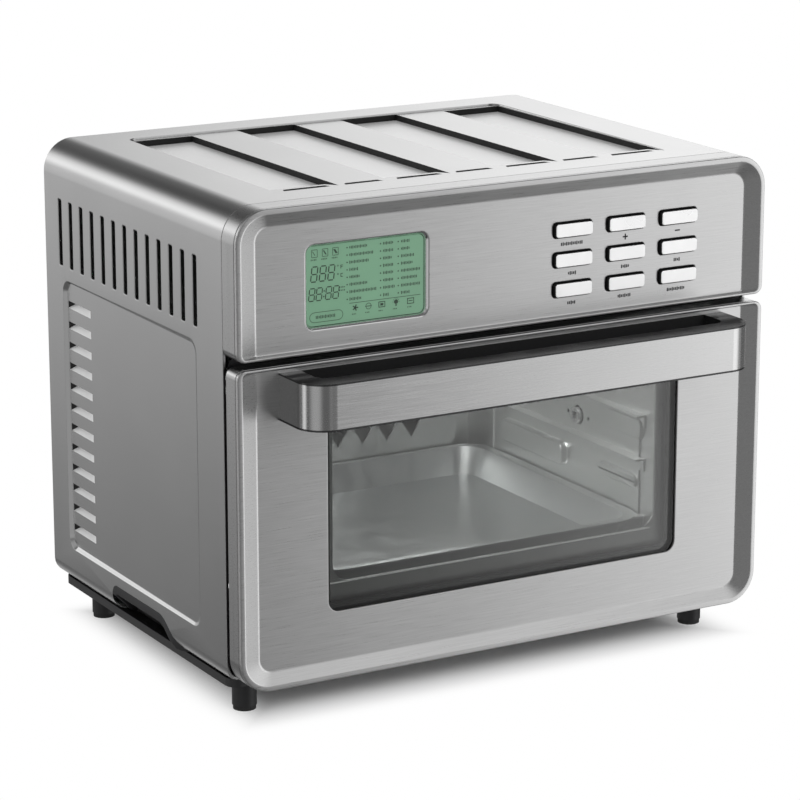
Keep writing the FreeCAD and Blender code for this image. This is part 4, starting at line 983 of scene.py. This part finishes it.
# A generic mark under each button: plus and minus signs, and dashes in place of words.
MARK_DROP = 9.5
MARK_WIDTHS = {
    "button_menu": 17.5, "button_light": 6.0, "button_temperature": 6.0, "button_time": 5.0,
    "button_reset": 6.5, "button_preheat": 10.5, "button_start": 15.0,
}
marks = []
for node_name, x, z in button_places():
    x, z = x / MM, z / MM - MARK_DROP
    if node_name == "button_plus":
        marks += [bar(x, z, 4.0, 0.95), bar(x, z, 0.95, 4.0)]
    elif node_name == "button_minus":
        marks += [bar(x, z, 4.0, 0.95)]
    else:
        length = MARK_WIDTHS[node_name]
        marks += word(x - length / 2, z, length, 2.5, wide=0.9, gap=0.42)
flat_marks("button_marks", marks, FLAT / MM, 0.06, PRINT, "black_plastic")


def large_digits():
    """Two rows of large digits, with the colon and the small signs beside them."""
    signs = []
    for number in range(3):
        signs += digit(-141.6 + 6.1 * number, 286.8, 4.2, 9.6, 0.8)
    for x in (-143.2, -137.9, -131.2, -125.9):
        signs += digit(x, 274.6, 3.9, 8.0, 0.72)
    signs += [disc(-132.2, 276.7, 0.5), disc(-131.9, 280.3, 0.5)]
    for z in (294.6, 289.2):
        signs += hoop(-122.0, z + 0.9, 0.6, 0.3, 10)
        signs += [bar(-119.9, z, 0.5, 2.3), bar(-119.1, z + 1.0, 1.3, 0.45)]
    signs += [bar(-119.2, 288.2, 1.3, 0.45), bar(-119.2, 294.6, 1.1, 0.4)]
    return signs + word(-121.0, 281.4, 4.2, 1.0) + word(-121.0, 279.4, 4.2, 1.0)


def browning_icons():
    """Three square frames with one, two and three slanting strokes, and a word under each."""
    signs = []
    for number, x in enumerate((-138.7, -131.1, -123.7)):
        for side in (-1, 1):
            level = 304.9 + 2.4 * side
            signs.append(stroke((x - 2, level), (x + 2, level), 0.35))
            signs.append(stroke((x + 2 * side, 302.5), (x + 2 * side, 307.3), 0.35))
        for line in range(number + 1):
            start = x - 1.4 + 0.5 * line
            signs.append(stroke((start, 306.4), (start + 1.8, 303.6), 0.4))
        signs += word(x - 2.6, 300.9, 4.4, 1.1)
    return signs


# For each column: where its dots and its words are, and the words' lengths.
PROGRAMMES = (
    (-115.4, -113.7, (14, 19, 15.5, 8, 9, 14, 21, 10)),
    (-91.2, -89.3, (8.5, 8.5, 7.5, 9, 8.5, 9, 9.5, 5.5)),
    (-78.3, -76.2, (7.5, 8, 11.5, 10.5, 15, 13, 15.5, 8)),
)


def programme_list():
    """Three columns of dots and words, with a line under them."""
    signs = [bar(-88.0, 270.2, 52.0, 0.35)]
    for dot_x, start, lengths in PROGRAMMES:
        for row, length in enumerate(lengths):
            z = 306.3 - 4.77 * row
            signs.append(disc(dot_x, z, 0.5, 10))
            signs += word(start, z, length - 1.2)
    return signs


ICONS_Z = 266.9
ICONS_X = (-109.6, -100.0, -90.3, -79.9, -69.2)


def four_bars(x, above, below, half, wide, tall):
    """A frame of bars around an icon's middle."""
    return [
        bar(x, ICONS_Z + above, wide, 0.5), bar(x, ICONS_Z - below, wide, 0.5),
        bar(x - half, ICONS_Z, 0.5, tall), bar(x + half, ICONS_Z, 0.5, tall),
    ]


def function_icons():
    """A fan, a spit, a tray, a lamp and a rack, with a word under each."""
    fan, spit, tray, lamp, rack = ICONS_X
    z = ICONS_Z
    signs = [stroke((fan, z), around(fan, z, 2.1, math.pi / 2.5 * blade), 0.8) for blade in range(5)]
    signs += hoop(spit, z, 2.1, 0.35) + [bar(spit, z, 4.6, 0.5)]
    signs += four_bars(tray, 1.7, 1.7, 2.2, 4.8, 3.6) + [bar(tray, z, 2.2, 1.6)]
    signs += [disc(lamp, z + 0.5, 1.5), bar(lamp, z - 1.7, 1.2, 1.0)]
    for ray in range(6):
        angle = math.pi / 5 * ray
        signs.append(stroke(around(lamp, z + 0.5, 1.9, angle), around(lamp, z + 0.5, 2.6, angle), 0.35))
    signs += four_bars(rack, 1.6, 1.8, 2.3, 5.2, 3.4) + [bar(rack, z, 3.0, 0.5)]
    for x in ICONS_X:
        signs += word(x - 2.3, 262.9, 3.8, 0.9)
    return signs


def badge():
    """A word in a frame with round ends."""
    x, z, half, radius = -130.5, 263.8, 8.75, 3.2
    signs = [bar(x, z + side * radius, 2 * half, 0.35) for side in (-1, 1)]
    for side in (-1, 1):
        ends = []
        for step in range(7):
            across, up = around(0, 0, radius, math.pi * (step / 6 - 0.5))
            ends.append((x + side * (half + across), z + up))
        signs += [stroke(start, stop, 0.35) for start, stop in zip(ends, ends[1:])]
    return signs + word(-138.0, z, 14.0, 2.3)


signs = large_digits() + browning_icons() + programme_list() + function_icons() + badge()
flat_marks("display_segments", signs, LCD_DEPTH - 0.02, 0.04, SEGMENT, "display_green", (-3.0, 1.6))


# ------------------------------------------------------------------ stage, camera and light

SMOOTH = {"interpolation_type": "SMOOTHSTEP"}
# The floor is plain around the oven's foot, and as white as the background away from it.
SHADE_MIDDLE = (0.0, 0.019)
SHADE_HALF = (0.2, 0.146)
SHADE_FADE = (-0.05, 0.008)


def beyond(add, place, axis):
    """How far a place lies outside the floor's plain part along one axis."""
    off = add("ShaderNodeMath", {"operation": "SUBTRACT"}, i0=place, i1=SHADE_MIDDLE[axis]).outputs[0]
    off = add("ShaderNodeMath", {"operation": "ABSOLUTE"}, i0=off).outputs[0]
    return add("ShaderNodeMath", {"operation": "SUBTRACT"}, i0=off, i1=SHADE_HALF[axis]).outputs[0]


bpy.ops.mesh.primitive_plane_add(size=14, location=(0, 0, 0))
floor = bpy.context.object
floor.name = "studio_floor"
floor_paint, add = new_material("studio_floor")
spot = add("ShaderNodeSeparateXYZ", i0=add("ShaderNodeTexCoord").outputs["Object"]).outputs
away = add("ShaderNodeMath", {"operation": "MAXIMUM"}, i0=beyond(add, spot[0], 0), i1=beyond(add, spot[1], 1))
start, end = SHADE_FADE
fade = add("ShaderNodeMapRange", SMOOTH, i0=away.outputs[0], i1=start, i2=end, i3=0.0, i4=1.0).outputs[0]
lit = add("ShaderNodeBsdfDiffuse", Color=(0.93, 0.93, 0.93, 1))
white = add("ShaderNodeEmission", Color=WHITE, Strength=1.0)
both = add("ShaderNodeMixShader", i0=fade, i1=lit.outputs[0], i2=white.outputs[0])
# From below, the floor is clear.
below = add("ShaderNodeNewGeometry").outputs["Backfacing"]
hidden = add("ShaderNodeBsdfTransparent", Color=WHITE)
both = add("ShaderNodeMixShader", i0=below, i1=both.outputs[0], i2=hidden.outputs[0])
add("ShaderNodeOutputMaterial", Surface=both.outputs[0])
floor.data.materials.append(floor_paint)
floor.visible_glossy = False

camera_data = bpy.data.cameras.new("camera")
camera_data.sensor_width = 36
camera_data.lens = 145.47
camera_data.clip_end = 60
camera = bpy.data.objects.new("camera", camera_data)
camera.location = (-1.07957, -1.86247, 0.73514)
camera.rotation_euler = (math.radians(90 - 14.82), 0, math.radians(-29.85))
bpy.context.scene.collection.objects.link(camera)
bpy.context.scene.camera = camera


def softbox(name, spot, target, size, power, shiny=False):
    """An area light. The steel mirrors only a shiny one."""
    data = bpy.data.lights.new(name, "AREA")
    data.shape = "RECTANGLE"
    data.size, data.size_y = size
    data.energy = power
    lamp = bpy.data.objects.new(name, data)
    lamp.location = spot
    lamp.rotation_euler = (Vector(target) - Vector(spot)).to_track_quat("-Z", "Y").to_euler()
    lamp.visible_glossy = shiny
    bpy.context.scene.collection.objects.link(lamp)


softbox("overhead", (-0.2, 0.3, 2.4), (0, 0, 0), (2.6, 2.6), 70)
softbox("front", (0.6, -2.6, 1.3), (0, 0, 0.15), (1.6, 1.6), 40)
softbox("cavity_lamp", (0, FRONT + 0.12, 0.205), (0.02, FRONT + 0.15, 0), (0.10, 0.10), 0.40, shiny=True)

# The studio that the steel mirrors: soft panels of light around a dark room. Each is (azimuth from the rear
# towards the right, elevation, half width, half height, strength), with angles in degrees.
PANELS = [
    (133, -12, 16.5, 26, 1.31),
    (156, -12, 12, 26, 0.06),
    (110, -15, 10, 20, 0.25),
    (149, 24, 18, 30, 0.74),
    (-29, 0, 30, 17, 0.66),
    (-29, 15, 30, 9, 1.1),
    (46, 16, 26, 26, 1.25),
    (-80, 45, 40, 30, 0.35),
    (-75, -12, 10, 22, 0.9),
    (-120, -15, 25, 25, -0.13),
    (-17, 33, 18, 9, -0.13),
    (176, -12, 8, 24, 0.12),
    (237, -8, 26, 26, 0.5),
    (35, -36, 40, 14, 0.5),
]
ROOM = 0.16
PANEL_CORE, PANEL_EDGE_FADE = 0.45, 1.25  # shares of a panel's size between which it fades
world = bpy.data.worlds.new("studio")
bpy.context.scene.world = world
world.use_nodes = True
tree = world.node_tree
tree.nodes.clear()


def world_node(kind, settings=None, **inputs):
    made = tree.nodes.new(kind)
    for key, value in (settings or {}).items():
        setattr(made, key, value)
    for key, value in inputs.items():
        socket = made.inputs[int(key[1:])]
        if isinstance(value, bpy.types.NodeSocket):
            tree.links.new(value, socket)
        else:
            socket.default_value = value
    return made.outputs


def dot(first, second):
    return world_node("ShaderNodeVectorMath", {"operation": "DOT_PRODUCT"}, i0=first, i1=second)["Value"]


def maths(operation, first, second=0.0):
    return world_node("ShaderNodeMath", {"operation": operation}, i0=first, i1=second)[0]


looking = world_node("ShaderNodeTexCoord")["Generated"]
total = ROOM
for azimuth, elevation, half_wide, half_tall, strength in PANELS:
    turn, lift = math.radians(azimuth), math.radians(elevation)
    centre = Vector((math.sin(turn) * math.cos(lift), math.cos(turn) * math.cos(lift), math.sin(lift)))
    across = Vector((math.cos(turn), -math.sin(turn), 0))
    up = across.cross(centre)
    off_x = maths("DIVIDE", dot(looking, across), math.sin(math.radians(half_wide)))
    off_z = maths("DIVIDE", dot(looking, up), math.sin(math.radians(half_tall)))
    away = maths("SQRT", maths("ADD", maths("MULTIPLY", off_x, off_x), maths("MULTIPLY", off_z, off_z)))
    glow = world_node(
        "ShaderNodeMapRange", SMOOTH, i0=away, i1=PANEL_EDGE_FADE, i2=PANEL_CORE, i3=0.0, i4=strength,
    )[0]
    ahead = maths("GREATER_THAN", dot(looking, centre), 0.0)
    total = maths("ADD", maths("MULTIPLY", glow, ahead), total)
shown = world_node("ShaderNodeBackground", None, i0=WHITE, i1=1.0)[0]
mirrored = world_node("ShaderNodeBackground", None, i0=WHITE, i1=total)[0]
to_camera = world_node("ShaderNodeLightPath")["Is Camera Ray"]
chosen = world_node("ShaderNodeMixShader", None, i0=to_camera, i1=mirrored, i2=shown)[0]
world_node("ShaderNodeOutputWorld", None, i0=chosen)
bpy.context.scene.view_settings.view_transform = "Standard"
